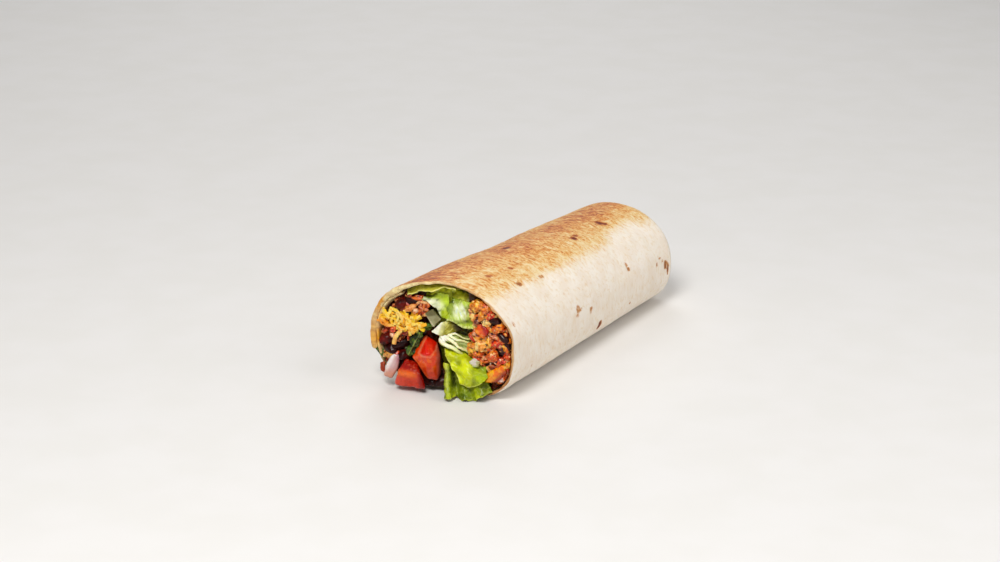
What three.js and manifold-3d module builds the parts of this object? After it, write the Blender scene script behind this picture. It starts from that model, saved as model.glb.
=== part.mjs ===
// A burrito: a wheat tortilla rolled round its fillings, folded shut at one end and open at the
// other, where the fillings show. Millimetres. +Z is up, +Y runs along the roll to its folded
// end, the open mouth faces -Y, and the origin is the middle of the flat strip it rests on.
//
// Places in the mouth are given as (across, up, depth): across is x, up is z, and depth is how
// far the point lies inside the roll, measured along +Y from the leaning plane of the mouth.

import * as THREE from "three";
import { ConvexGeometry } from "three/addons/geometries/ConvexGeometry.js";
import { ParametricGeometry } from "three/addons/geometries/ParametricGeometry.js";
import { mergeVertices } from "three/addons/utils/BufferGeometryUtils.js";
import Module from "manifold-3d";

const wasm = await Module();
wasm.setup();

// The roll.
const LENGTH = 177;
const MOUTH = { width: 68.4, height: 54.8 };
const SHUT_END = { width: 61.9, height: 46.5 };
const WAIST = 0.47; // level of the widest point, as a share of the height
const TOP_POWER = 2.04; // superellipse power of the upper half
const BASE_POWER = 2.96; // and of the lower half, which sags flat on its base
const BASE_SAG = 0.9; // how far the lower half would reach below its flat strip
const DOME = 18; // length of the rounded shut end
const DOME_POWER = 2.2;
const MOUTH_YAW = 0.172; // the mouth's left side stands forward
const MOUTH_PITCH = -0.081; // and so does its top
const DENT = 0.45; // soft unevenness of the skin
const DENT_BIAS = 1.2; // keeps the dents mostly inwards
const INNER_RADIUS = 22.8; // rough radius inside the roll, which turns a gap into an angle

// The tortilla: one sheet, rolled a little more than once round.
const SHEET = 1.7;
const LAP_GAP = 0.5; // between the two layers at the lap
const LAP_DEPTH = 30; // how far the gap between the layers is open
const INNER_EDGE = THREE.MathUtils.degToRad(126); // where the sheet starts, inside
const SEAM = THREE.MathUtils.degToRad(191); // where it ends, outside, at the mouth
const SEAM_DRIFT = THREE.MathUtils.degToRad(22); // how far the seam wanders under the roll
const SEAM_FADE = THREE.MathUtils.degToRad(26); // the step of the lap dies out over this angle
const FOLD_WALL = 6; // thickness of the folded sheet at the shut end
const FOLD_DEPTH = 1.9; // how far each turn of the fold dips at its lip
const FOLD_RADIUS = 0.86; // where the lip starts, as a share of the end's radius
const FOLD_PITCH = 0.46; // and how far it comes inwards in a turn
const FOLD_LIP = 0.34; // breadth of the lip, as a share of the pitch
const FOLD_START = THREE.MathUtils.degToRad(215);
const FOLD_FLOOR = 0.3; // depth of a turn of the fold away from its lip, as a share of the lip's
const FOLD_CENTRE = 0.8; // and at the middle of the end
const RIM_WAVE = 0.5;
const RIM_SETBACK = 6; // the rim's lower left side lies this much deeper
const SPILL_START = [196, 225].map(THREE.MathUtils.degToRad); // and eases in and out over these angles
const SPILL_END = [268, 306].map(THREE.MathUtils.degToRad);

// Fineness of the skins.
const AROUND = 54;
const INSIDE_AROUND = 32;
const STRAIGHT_RINGS = 13;
const INSIDE_RINGS = 5;
const DOME_RINGS = 9;
const INSIDE_DOME_RINGS = 4;

const GAP = 0.3; // between the sheet and the fillings, and between the fillings
const PIECE_GAP = 0.45; // between separate pieces, a little more as their faces differ
const MERGE_DISTANCE = 1e-4;
const SLIVER = 0.03; // edges shorter than this are closed up after a cut
const BITE = 2; // how far a cutter reaches past what it cuts
const STRIP_STEPS = 3;
const BROAD_CRAGS = 0.16; // unevenness of a crumbly lump, as shares of its size
const FINE_CRAGS = 0.1;

const TURN = 2 * Math.PI;
const { clamp, degToRad, lerp, smoothstep } = THREE.MathUtils;

// ---------------------------------------------------------------------------------------------
// Solids

/** A closed solid: shared corners are merged and collapsed triangles dropped. */
function solidOf(geometry) {
  geometry.deleteAttribute("normal");
  geometry.deleteAttribute("uv");
  const merged = mergeVertices(geometry, MERGE_DISTANCE);
  const index = merged.index.array;
  const corners = [];
  for (let i = 0; i < index.length; i += 3) {
    const [a, b, c] = index.slice(i, i + 3);
    if (a !== b && b !== c && c !== a) corners.push(a, b, c);
  }
  const vertProperties = new Float32Array(merged.attributes.position.array);
  const triVerts = new Uint32Array(corners);
  return new wasm.Manifold(new wasm.Mesh({ numProp: 3, vertProperties, triVerts }));
}

function geometryOf(solid) {
  const { vertProperties, triVerts, numProp } = solid.getMesh();
  const geometry = new THREE.BufferGeometry();
  geometry.setAttribute("position", new THREE.BufferAttribute(vertProperties, numProp));
  geometry.setIndex(new THREE.BufferAttribute(triVerts, 1));
  geometry.computeVertexNormals();
  return geometry;
}

/** The main body of a solid, without loose scraps and with sealed hollows filled. */
function mainBody(solid) {
  const bodies = solid.decompose();
  return bodies.reduce((best, body) => (body.volume() > best.volume() ? body : best));
}

const joined = (solids) => solids.reduce((sum, solid) => sum.add(solid));
const without = (solid, cutters) => cutters.reduce((rest, cutter) => rest.subtract(cutter), solid);

/** Moves every corner of a geometry to where place(corner) says. */
function reshape(geometry, place) {
  const corners = geometry.attributes.position;
  const corner = new THREE.Vector3();
  for (let i = 0; i < corners.count; i++) {
    corner.copy(place(corner.fromBufferAttribute(corners, i)));
    corners.setXYZ(i, corner.x, corner.y, corner.z);
  }
  return geometry;
}

// ---------------------------------------------------------------------------------------------
// The roll's shape

const mouthPlane = (x, z) => -LENGTH / 2 + MOUTH_YAW * x + MOUTH_PITCH * (z - MOUTH.height / 2);

/** A point given as (across, up, depth). */
const inMouth = (across, up, depth) => new THREE.Vector3(across, mouthPlane(across, up) + depth, up);

const superellipse = (value, power) => Math.sign(value) * Math.abs(value) ** (2 / power);

/** Cross-section of the roll at a share of its length, at an angle from +X through +Z. */
function sectionPoint(angle, share, inset) {
  const height = lerp(MOUTH.height, SHUT_END.height, share);
  const waist = WAIST * height;
  const upper = Math.sin(angle) >= 0;
  const power = upper ? TOP_POWER : BASE_POWER;
  const reach = (upper ? height - waist : waist + BASE_SAG) - inset;
  const halfWidth = lerp(MOUTH.width, SHUT_END.width, share) / 2 - inset;
  const x = halfWidth * superellipse(Math.cos(angle), power);
  const z = waist + reach * superellipse(Math.sin(angle), power);
  return { x, z: Math.max(z, inset), middle: height / 2 };
}

/**
 * A skin station: its share of the straight length, and the arc it has gone round the dome.
 * Stations run from the mouth (or a depth inside it) to the tip of the shut end.
 */
function stations(straightRings, domeRings) {
  const list = [];
  for (let i = 0; i <= straightRings; i++) list.push({ straight: i / straightRings, arc: 0 });
  for (let i = 1; i <= domeRings; i++) list.push({ straight: 1, arc: ((i / domeRings) * Math.PI) / 2 });
  return list;
}

/** A point of a skin that lies inset below the roll's outline, and fold deeper at the shut end. */
function skinPoint(angle, station, { inset, fold, start, end }) {
  const domeStart = end - DOME;
  const share = (station.straight * (LENGTH - DOME)) / LENGTH;
  const { x, z, middle } = sectionPoint(angle, share, inset + fold * Math.cos(station.arc));
  const y = lerp(mouthPlane(x, z) + start, domeStart, station.straight);
  const scale = superellipse(Math.cos(station.arc), DOME_POWER);
  const along = (DOME - fold) * superellipse(Math.sin(station.arc), DOME_POWER);
  return new THREE.Vector3(x * scale, y + along, middle + (z - middle) * scale);
}

const seamAngle = (station) => SEAM + SEAM_DRIFT * station.straight;

/** How far the inner layer has sunk below the outline, from 1 at the flap's edge to 0 past the step. */
const lapAfterSeam = (past) => 1 - smoothstep(past, 0, SEAM_FADE);

/** 1 where the sheet lies double, from its inner edge to the outer flap's edge, then fading to 0. */
function lapShare(angle, station) {
  return angle < seamAngle(station) ? 1 : lapAfterSeam(angle - seamAngle(station));
}

/** Low, uneven dents of the skin, none on the base. */
function dent(angle, along) {
  const swell = Math.sin(3 * angle + 0.05 * along) + 0.8 * Math.sin(2 * angle - 0.083 * along + 1);
  const aboveBase = clamp(Math.sin(angle) + 0.9, 0, 1);
  return (DENT / 2) * (DENT_BIAS - swell) * aboveBase;
}

/**
 * The shut end, where the sheet's folded sides are rolled in: a lip winds inwards as a spiral,
 * and each turn of it dips below the turn outside it.
 */
function foldDepth(angle, arc) {
  const radius = Math.cos(arc);
  const turn = THREE.MathUtils.euclideanModulo(angle - FOLD_START, TURN) / TURN;
  const inward = (FOLD_RADIUS - radius) / FOLD_PITCH - turn;
  if (inward < 0) return 0;
  const layer = inward % 1;
  const started = smoothstep(turn + Math.floor(inward), 0, 0.25) * smoothstep(inward, 0, FOLD_LIP);
  const dip = smoothstep(layer, 0, FOLD_LIP) * (1 - smoothstep(layer, FOLD_LIP, 1));
  const centre = 1 - smoothstep(radius, 0, FOLD_PITCH / 2);
  return FOLD_DEPTH * started * lerp(lerp(FOLD_FLOOR, 1, dip), FOLD_CENTRE, centre);
}

/** The rim is a little wavy, and is drawn back where the fillings spill over it. */
function rimDepth(angle) {
  const turned = THREE.MathUtils.euclideanModulo(angle, TURN);
  const wave = RIM_WAVE * (0.6 * Math.sin(5 * turned + 1) + 0.4 * Math.sin(9 * turned));
  const spill = smoothstep(turned, ...SPILL_START) * (1 - smoothstep(turned, ...SPILL_END));
  return wave + RIM_SETBACK * spill;
}

/**
 * A closed skin: a fan from the middle of the mouth to the first ring, the rings, and the tip.
 * point(step, station) gives the ring's point at a step from 0 to around - 1.
 */
function skinSolid(around, list, start, end, point) {
  const middle = MOUTH.height / 2;
  const tip = new THREE.Vector3(0, end, SHUT_END.height / 2);
  const last = list.length;
  const place = (u, v, target) => {
    const row = Math.round(v * last);
    const step = Math.round((1 - u) * around) % around;
    if (row === 0) target.copy(inMouth(0, middle, start));
    else if (row === last) target.copy(tip);
    else target.copy(point(step, list[row - 1]));
  };
  return solidOf(new ParametricGeometry(place, around, last));
}

// ---------------------------------------------------------------------------------------------
// The tortilla

/** The roll's full outline, as if solid, from the mouth to the shut end. */
function rollOutside(grow) {
  const end = LENGTH / 2 + grow;
  const list = stations(STRAIGHT_RINGS, DOME_RINGS);
  const point = (step, station) => {
    const seam = seamAngle(station);
    const angle = seam + (TURN * step) / (AROUND - 1);
    const share = step === 0 ? 1 : step === AROUND - 1 ? 0 : lapAfterSeam(angle - seam);
    const fold = foldDepth(angle, station.arc);
    const inset = share * (SHEET + LAP_GAP) + dent(angle, station.straight * LENGTH) - grow;
    const start = rimDepth(angle) - grow;
    return skinPoint(angle, station, { inset, fold, start, end });
  };
  return skinSolid(AROUND, list, 0, end - foldDepth(0, Math.PI / 2), point);
}

/** The hollow inside the sheet, from in front of the mouth to the folded end. */
function rollInside(shrink) {
  const start = -2 * BITE;
  const end = LENGTH / 2 - FOLD_WALL - shrink;
  const innerEdge = INNER_EDGE - shrink / INNER_RADIUS;
  const list = stations(INSIDE_RINGS, INSIDE_DOME_RINGS);
  const point = (step, station) => {
    const angle = innerEdge + (TURN * step) / (INSIDE_AROUND - 1);
    const lap = step === INSIDE_AROUND - 1 ? 0 : lapShare(angle, station);
    const inset = SHEET + lap * (SHEET + LAP_GAP) + shrink;
    return skinPoint(angle, station, { inset, fold: 0, start, end });
  };
  return skinSolid(INSIDE_AROUND, list, start, end, point);
}

/** The thin gap between the two layers of the lap, open at the mouth and at both edges. */
function lapGap() {
  const [stepsAround, stepsAlong] = [9, 2];
  const blade = new THREE.BoxGeometry(1, 1, 1, stepsAround, 1, stepsAlong);
  const overrun = degToRad(2);
  return solidOf(
    reshape(blade, (corner) => {
      const depth = lerp(-BITE, LAP_DEPTH, 0.5 - corner.z);
      const angle = lerp(INNER_EDGE - overrun, SEAM + overrun, 0.5 - corner.x);
      const inset = lerp(SHEET, SHEET + LAP_GAP, 0.5 - corner.y);
      const { x, z } = sectionPoint(angle, depth / LENGTH, inset);
      return inMouth(x, z, depth);
    }),
  );
}

function tortilla() {
  return mainBody(without(rollOutside(0), [rollInside(0), lapGap()]));
}

/** What every filling has to stay inside of. */
function tortillaWithGap() {
  return rollOutside(GAP).subtract(fillingSpace());
}

/** The room inside the roll, with the gap that the fillings keep to the sheet. */
const fillingSpace = () => rollInside(GAP);

// ---------------------------------------------------------------------------------------------
// Shapes of food

// The mouth is composed as seen slantwise, from the right and above: a piece that lies deeper
// shows further to the right and higher up, by these shares of its depth.
const SIGHT_ACROSS = 0.568;
const SIGHT_UP = 0.376;

/** The point at a depth that shows at (across, up) in the plane of the mouth. */
function shownAt(across, up, depth) {
  return inMouth(across - SIGHT_ACROSS * depth, up - SIGHT_UP * depth, depth);
}

/** A chunk with rounded edges: the hull of small balls at its corners. */
function chunk(corners, roundness, grow) {
  const ball = new THREE.IcosahedronGeometry(roundness + grow, 0).attributes.position;
  const points = [];
  for (const [across, up, depth] of corners) {
    for (let i = 0; i < ball.count; i++) {
      points.push(new THREE.Vector3().fromBufferAttribute(ball, i).add(shownAt(across, up, depth)));
    }
  }
  return solidOf(new ConvexGeometry(points));
}

/** Corners given for the front face, repeated at the back. */
function slab(face, thickness) {
  const back = face.map(([across, up, depth]) => [across, up, depth + thickness]);
  return [...face, ...back];
}

/**
 * A thin wavy leaf. sheet(u, v) is its middle for u and v from 0 to 1, and both of its faces
 * are split alike, into as many steps across and down as given.
 */
function leaf(sheet, { thickness, across, down }, grow) {
  const step = 0.01;
  const width = sheet(0, 0.5).distanceTo(sheet(1, 0.5));
  const height = sheet(0.5, 0).distanceTo(sheet(0.5, 1));
  const box = new THREE.BoxGeometry(1, 1, 1, across, down, 1);
  return solidOf(
    reshape(box, (corner) => {
      const u = 0.5 + corner.x * (1 + (2 * grow) / width);
      const v = 0.5 - corner.y * (1 + (2 * grow) / height);
      const middle = sheet(u, v);
      const alongU = sheet(u + step, v).sub(middle);
      const alongV = sheet(u, v + step).sub(middle);
      const normal = alongV.cross(alongU).normalize();
      return middle.addScaledVector(normal, 2 * corner.z * (thickness / 2 + grow));
    }),
  );
}

/** A strip or shred with a flat four-sided section along a curve through places in the mouth. */
function strip(places, width, thickness, grow) {
  const halfWidth = width / 2 + grow;
  const halfThickness = thickness / 2 + grow;
  const section = new THREE.Shape([
    new THREE.Vector2(-halfThickness, -halfWidth),
    new THREE.Vector2(halfThickness, -halfWidth),
    new THREE.Vector2(halfThickness, halfWidth),
    new THREE.Vector2(-halfThickness, halfWidth),
  ]);
  const path = new THREE.CatmullRomCurve3(places.map(([across, up, depth]) => shownAt(across, up, depth)));
  const options = { steps: STRIP_STEPS, extrudePath: path, bevelEnabled: false };
  return solidOf(new THREE.ExtrudeGeometry(section, options));
}

/** A grain or bean: a small ellipsoid lying at a place in the mouth, turned about its middle. */
function grain(place, { length, width, sides, rings }, turn) {
  const ball = new THREE.SphereGeometry(1, sides, rings);
  ball.scale(width / 2, length / 2, width / 2);
  ball.applyMatrix4(new THREE.Matrix4().makeRotationFromEuler(turn));
  const { x, y, z } = shownAt(...place);
  return solidOf(ball.translate(x, y, z));
}

/** A crumbly lump: a ball pushed in and out unevenly. */
function lump(place, size, turn) {
  const ball = new THREE.IcosahedronGeometry(size / 2, 1);
  const centre = shownAt(...place);
  return solidOf(
    reshape(ball, (corner) => {
      const { x, y, z } = corner.clone().divideScalar(size);
      const broad = BROAD_CRAGS * Math.sin(9 * x + turn.x) * Math.cos(8 * z + turn.y);
      const fine = FINE_CRAGS * Math.sin(11 * y);
      return corner.multiplyScalar(1 + broad + fine).add(centre);
    }),
  );
}

/** A turn drawn by the seeded random rule. */
function anyTurn(tilt) {
  const draw = () => THREE.MathUtils.seededRandom();
  return new THREE.Euler(lerp(-tilt, tilt, draw()), lerp(-tilt, tilt, draw()), lerp(0, Math.PI, draw()));
}

/** Whether (across, up) lies inside a closed outline. */
function isInside(outline, across, up) {
  let inside = false;
  outline.forEach(([x1, z1], i) => {
    const [x2, z2] = outline[(i + 1) % outline.length];
    const crosses = z1 > up !== z2 > up && across < x1 + ((x2 - x1) * (up - z1)) / (z2 - z1);
    if (crosses) inside = !inside;
  });
  return inside;
}

/** Places on an uneven grid inside an outline in the mouth. */
function scatter(outline, spacing, seed) {
  THREE.MathUtils.seededRandom(seed);
  const places = [];
  for (let row = 0; row * spacing < MOUTH.height; row++) {
    for (let column = 0; column * spacing < MOUTH.width; column++) {
      const stagger = (row % 2) / 2;
      const jitter = () => lerp(-0.3, 0.3, THREE.MathUtils.seededRandom());
      const across = (column + stagger + jitter()) * spacing - MOUTH.width / 2;
      const up = (row + jitter()) * spacing;
      if (isInside(outline, across, up)) places.push([across, up]);
    }
  }
  return places;
}

// ---------------------------------------------------------------------------------------------
// Separate pieces in the mouth. Each is made from a function of grow, which also gives the
// slightly larger shape that its neighbours are cut clear of.

// Chunks: corners of their core, as (across, up, depth), and the roundness about it. A slab's
// corners are those of its front face, and its back lies the thickness deeper.
const CHUNKS = {
  tomato_large: {
    corners: [
      [-13.2, 16.2, 0.5], [-6.6, 7, -1], [-3.2, 6.8, 0], [-1.4, 10, 3], [-1.3, 18, 2], [-7, 18.3, -2.5],
      [-7.2, 26.6, 4.5], [-2.6, 24, 5], [-12, 18, 6], [-6, 11, 8], [-7, 22, 9],
    ],
    roundness: 1.2,
  },
  tomato_small: {
    corners: [
      [-22.4, 2, -4], [-9.6, 1.8, -4], [-20.4, 8.4, -3.5], [-11.4, 8, -3.5],
      [-17, 13.6, 1], [-12.8, 12.8, 1.5], [-20.6, 7, 3], [-11, 6, 3],
    ],
    roundness: 1.2,
  },
  onion_slice: {
    corners: [
      [-23.2, 15.4, 0], [-21.2, 15.2, 0.4], [-25.8, 11, -1.6],
      [-22.2, 9.4, -1.2], [-27.6, 5.4, -2.2], [-25.2, 4.8, -2],
    ],
    thickness: 2.2,
    roundness: 0.9,
  },
  onion_bit: {
    corners: [[13.4, 17.4, -1.5], [15.6, 19.2, -1], [17.6, 18, -1], [17.2, 16, -1.2], [14.8, 15.4, -1.5]],
    thickness: 1.4,
    roundness: 0.5,
  },
  pepper_strip: {
    corners: [
      [20.8, 9.6, -0.6], [21.6, 12.4, -0.2], [25.6, 15, -0.4],
      [28.6, 17.4, 0], [29.6, 15.2, 0], [25.4, 9.8, -0.8],
    ],
    thickness: 3,
    roundness: 0.9,
  },
  red_dice: {
    corners: [[17.2, 33, 0.4], [19.4, 36, 0.6], [22.4, 33.6, 0.2], [20.2, 30.6, 0]],
    thickness: 4,
    roundness: 0.9,
  },
  tomato_bit: {
    corners: [[-29.4, 10.6, 0], [-28.2, 11.2, 0], [-29.4, 7.2, -1], [-28.6, 7, -1]],
    thickness: 2,
    roundness: 0.5,
  },
  green_dice: {
    corners: [[-6.3, 38, 1.5], [-3.2, 40.2, 2], [0.2, 36.2, 2.5], [-3.2, 32.4, 1.8]],
    thickness: 5,
    roundness: 0.6,
  },
  lettuce_rib: {
    corners: [
      [-3.6, 29.8, 1], [0.6, 34.2, 1], [3, 35.2, 2.5], [8, 34.6, 4], [10.2, 32.8, 4.5],
      [5.2, 30.2, 2.5], [0.6, 28.7, 1], [2, 32, 6], [8, 32, 8],
    ],
    roundness: 0.5,
  },
};

const chunkNamed = (name) => (grow) => {
  const { corners, thickness, roundness } = CHUNKS[name];
  return chunk(thickness ? slab(corners, thickness) : corners, roundness, grow);
};

const LEAF_REST = 0.9; // lowest level of a leaf's middle where it touches down
const RIM_CLEARANCE = 1.4; // between the sheet and the middle of the leaf that lines it
const RIM_DROOP = 2.6; // how far that leaf's front edge hangs from the sheet

/** A smooth hill of height 1. */
const bump = (value, centre, width) => Math.exp(-(((value - centre) / width) ** 2));

/** Rounds off the ends of a leaf: 0 at both, 1 in between. */
const taper = (share, power) => Math.sqrt(Math.max(1 - Math.abs(2 * clamp(share, 0, 1) - 1) ** power, 0));

function lettuceTop(grow) {
  const sheet = (u, v) => {
    const across = lerp(-8, 16.4, u);
    const crown = 52 - 2.6 * (1.7 * u - 0.75) ** 2;
    const hem = lerp(46.6, 45.2, u) + 0.7 * Math.sin(9 * u);
    return shownAt(across, lerp(crown, hem, v), lerp(9, 6, v) + 0.8 * Math.sin(11 * u + 2 * v));
  };
  return leaf(sheet, { thickness: 0.8, across: 8, down: 3 }, grow);
}

function lettuceUnderRim(grow) {
  const sheet = (u, v) => {
    const angle = lerp(degToRad(123), degToRad(76), u);
    const depth = lerp(1, 26, v);
    const wave = 0.35 * Math.sin(14 * u + 5 * v);
    const droop = RIM_DROOP * (1 - smoothstep(v, 0, 0.14)) * (1 - smoothstep(u, 0.5, 0.95));
    const { x, z } = sectionPoint(angle, depth / LENGTH, SHEET + RIM_CLEARANCE + wave + droop);
    return inMouth(x, z, depth + 0.8 * Math.sin(9 * u));
  };
  return leaf(sheet, { thickness: 0.7, across: 9, down: 8 }, grow);
}

function lettuceUpperLeft(grow) {
  const sheet = (u, v) => {
    const top = 46 + 3.2 * smoothstep(u, 0, 0.8);
    const bottom = 45.2 - 3.6 * smoothstep(u, 0, 0.55) - 5 * smoothstep(u, 0.5, 0.75);
    const depth = 2.4 + 2 * u + 2.2 * (1 - v) ** 2 + 0.6 * Math.sin(9 * u + 3 * v);
    return shownAt(lerp(-8.4, 5, u), lerp(top, bottom, v), depth);
  };
  return leaf(sheet, { thickness: 0.9, across: 8, down: 5 }, grow);
}

function lettuceUpperRight(grow) {
  const sheet = (u, v) => {
    const left = lerp(6.4, 3.6, smoothstep(v, 0, 0.5));
    const right = lerp(15.4, 16, v);
    const top = lerp(47.4, 45.8, u);
    const bottom = lerp(36.2, 33.4, smoothstep(u, 0, 0.8));
    const rib = 1.2 * Math.sin(5.6 * u + 0.8 + 2.4 * v) + 0.4 * Math.sin(13 * v + 4 * u);
    return shownAt(lerp(left, right, u), lerp(top, bottom, v), 3.6 - 3 * v + rib);
  };
  return leaf(sheet, { thickness: 0.9, across: 8, down: 7 }, grow);
}

/** The bright front lobe, which curls out over the lower leaf. */
function lettuceTongue(grow) {
  const sheet = (u, v) => {
    const left = 1.6 + 6.6 * smoothstep(v, 0.15, 0.95);
    const right = 21.4 - 2.6 * smoothstep(v, 0.6, 1);
    const top = 22.6 - u - 5.2 * smoothstep(u, 0.4, 0.8);
    const hem = 5.8 - 1.8 * Math.sin(Math.PI * clamp(u, 0, 1)) + 2.4 * u;
    const belly = 2.6 * Math.sin(Math.PI * v) * Math.sin(2.6 * u + 0.3);
    const crinkle = 0.5 * Math.sin(9 * u + 5 * v) + 0.35 * Math.sin(16 * v - 6 * u);
    return shownAt(lerp(left, right, u), lerp(top, hem, v), lerp(2.6, -4.6, v) - belly - crinkle);
  };
  return leaf(sheet, { thickness: 0.9, across: 9, down: 8 }, grow);
}

/** The lower leaf, which spills over the rim and touches down in front of it. */
function lettuceSpill(grow) {
  const sheet = (u, v) => {
    const left = lerp(1, 0.4, v);
    const right = lerp(20.5, 23.6, v);
    const top = 15.6 - 5 * u;
    const hem = -2 + 1.7 * bump(u, 0.22, 0.07) + 6 * smoothstep(u, 0.55, 1) + 0.4 * Math.sin(19 * u);
    const lean = lerp(1.4, lerp(-6.6, -3, u * u), v);
    const fold = 2.2 * bump(u, 0.08, 0.1) - 2.4 * bump(u, 0.26, 0.09);
    const ruffle = 0.9 * v * Math.sin(17 * u + 1);
    const point = shownAt(lerp(left, right, u), lerp(top, hem, v), lean - fold - ruffle);
    point.z = Math.max(point.z, LEAF_REST);
    return point;
  };
  return leaf(sheet, { thickness: 0.9, across: 13, down: 7 }, grow);
}

function rimLeaf(grow) {
  const sheet = (u, v) => {
    const across = lerp(-32.2, -28, v) + lerp(-0.8, 0.8, u) * taper(v, 2);
    return shownAt(across + 1.6 * u, lerp(19, 12.8, v) + 1.8 * u, 1 + 1.2 * u);
  };
  return leaf(sheet, { thickness: 0.6, across: 2, down: 5 }, grow);
}

function cilantroLeaf(grow) {
  const sheet = (u, v) => {
    const spread = (u - 0.5) * (1.2 + 3.6 * taper(v, 3) + 0.9 * Math.sin(16 * v));
    const across = lerp(-9.6, -16.2, v) + spread * 0.8;
    const up = lerp(28.8, 17, v) - spread * 0.5;
    return shownAt(across, up, 1.5 - 2 * v + 0.7 * Math.cos(6 * u) + 0.4 * Math.sin(13 * v));
  };
  return leaf(sheet, { thickness: 0.6, across: 3, down: 8 }, grow);
}

function cilantroBit(grow) {
  const sheet = (u, v) => {
    const spread = (u - 0.5) * (1 + 2.4 * taper(v, 2));
    const depth = 3.4 + 0.6 * Math.cos(5 * u) + 0.4 * Math.sin(9 * v);
    return shownAt(lerp(-9.6, -3.6, v), lerp(30.6, 32.6, v) + spread, depth);
  };
  return leaf(sheet, { thickness: 0.6, across: 2, down: 5 }, grow);
}

// Shredded lettuce seen edge on: each layer's thickness and the places along its front edge.
const LETTUCE_LAYERS = [
  {
    thickness: 0.9,
    edge: [
      [3.6, 29, 1], [4.8, 29.8, 0.8], [6.2, 30.2, 0.6], [7.7, 30.2, 0.8],
      [9.4, 29.3, 1.4], [11.4, 28.5, 2.2], [14.8, 28.7, 3.6],
    ],
  },
  {
    thickness: 1.1,
    edge: [
      [3.2, 28.5, 0.8], [4.4, 29.1, 0.5], [5.6, 28.6, 0.3], [7.2, 27.7, 0.4],
      [9.3, 27.2, 0.9], [11.6, 26.9, 2], [14.4, 26.5, 3.1],
    ],
  },
  {
    thickness: 1.4,
    edge: [
      [1, 28, 0.9], [2.4, 28, 0.5], [3.6, 27.4, 0.3], [5.4, 26.2, 0.1],
      [7.4, 24.7, 0.3], [9.8, 23.3, 0.9], [12.2, 22.5, 1.9],
    ],
  },
  {
    thickness: 2,
    edge: [
      [0.2, 27.4, 0.8], [0.3, 26.2, 0.4], [1.5, 24.9, 0.1],
      [3.5, 23.8, 0], [6, 22.9, 0.2], [8.3, 21.8, 0.9],
    ],
  },
];
const LAYER_REACH = 2.6; // how far a layer runs back from its edge
const LAYER_FALL = 0.5; // and how far it drops on the way
const SHRED_BASE = [
  [0.4, 27.3, 0.9], [1.1, 28.2, 1.2], [2.8, 28.4, 1.4],
  [3.4, 27.7, 1], [1.6, 26.9, 0.8], [1.6, 27.8, 3],
];

/** Fine shreds of lettuce, layer on layer, that come from one white base. */
function lettuceShreds(grow) {
  const layers = LETTUCE_LAYERS.map(({ thickness, edge }) => {
    const places = edge.map((place) => new THREE.Vector3(...place));
    const curve = new THREE.CatmullRomCurve3(places, false, "catmullrom");
    const length = curve.getLength();
    const sheet = (u, v) => {
      const share = clamp(u, 0, 1);
      const beyond = curve.getTangent(share).multiplyScalar((u - share) * length);
      const { x, y, z } = curve.getPoint(share).add(beyond);
      return shownAt(x, y - LAYER_FALL * v, z + LAYER_REACH * v);
    };
    return leaf(sheet, { thickness, across: 6, down: 1 }, grow);
  });
  const backing = (u, v) => {
    const top = 28.6 + 1.6 * Math.sin(2.6 * u);
    const bottom = 26.6 - 4.8 * u;
    const depth = 1.2 + 2.8 * Math.max(u, 0) ** 1.6 + 0.35 * Math.sin(14 * v + 3 * u);
    return shownAt(lerp(2.4, 15.4, u), lerp(top, bottom, v), depth);
  };
  const back = leaf(backing, { thickness: 1, across: 3, down: 2 }, grow);
  return joined([...layers, back, chunk(SHRED_BASE, 0.5, grow)]);
}

// Cheese: shreds piled on one another, as their ends in the plane of the mouth and their depth.
const CHEESE_SHREDS = [
  [[-28.8, 32.4], [-19.5, 36], 1.6],
  [[-25.6, 36.6], [-15.4, 36.4], 2.3],
  [[-24.6, 33.8], [-13.4, 34], 0.7],
  [[-28, 30.6], [-19.6, 31.6], 2.1],
  [[-22, 31], [-12.6, 32.2], 1.8],
  [[-17.4, 37], [-11.6, 31], 0.8],
  [[-14.8, 35.8], [-7.8, 33.2], 2.4],
  [[-12.6, 37.2], [-8.6, 30.6], 1.3],
  [[-17.6, 30.2], [-12.8, 26.4], -0.4],
  [[-17.8, 30.2], [-22.8, 20.8], -0.2],
];
const CHEESE_SHRED = { width: 2.2, thickness: 1.8, slope: 0.6, bow: 0.8 };
const CHEESE_BED = [[-25, 32.5, 3.4], [-11, 32, 3.4], [-17, 35, 3.4], [-17, 30.6, 3.4]];

function cheeseShreds(grow) {
  const { width, thickness, slope, bow } = CHEESE_SHRED;
  const shreds = CHEESE_SHREDS.map(([start, end, depth]) => {
    const middle = [(start[0] + end[0]) / 2, (start[1] + end[1]) / 2 + bow, depth - bow];
    return strip([[...start, depth], middle, [...end, depth + slope]], width, thickness, grow);
  });
  return joined([chunk(CHEESE_BED, 1.4, grow), ...shreds]);
}

// ---------------------------------------------------------------------------------------------
// Fillings that run through the roll, side by side, with the pieces that show at the mouth

const BEAN_BED_DEPTH = 5.5;
const MEAT_BED_DEPTH = 4.5;
const SALAD_BED_DEPTH = 11;

const BEAN = { length: 10, width: 6.8, sides: 6, rings: 5 };
const BLACK_BEAN = { length: 6.6, width: 4.6, sides: 6, rings: 4 };
const RICE = { length: 6.6, width: 2.4, sides: 5, rings: 4 };

/** Where the bean filling meets the salad, and the salad the meat filling. */
const saladLeft = (up) => -8.6 + 1.6 * Math.sin(up / 8) + 9.5 * (1 - smoothstep(up, 4, 13));
const saladRight = (up) => 12.2 + 8 * (1 - smoothstep(up, 6, 21));
const farSide = MOUTH.width;

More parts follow.
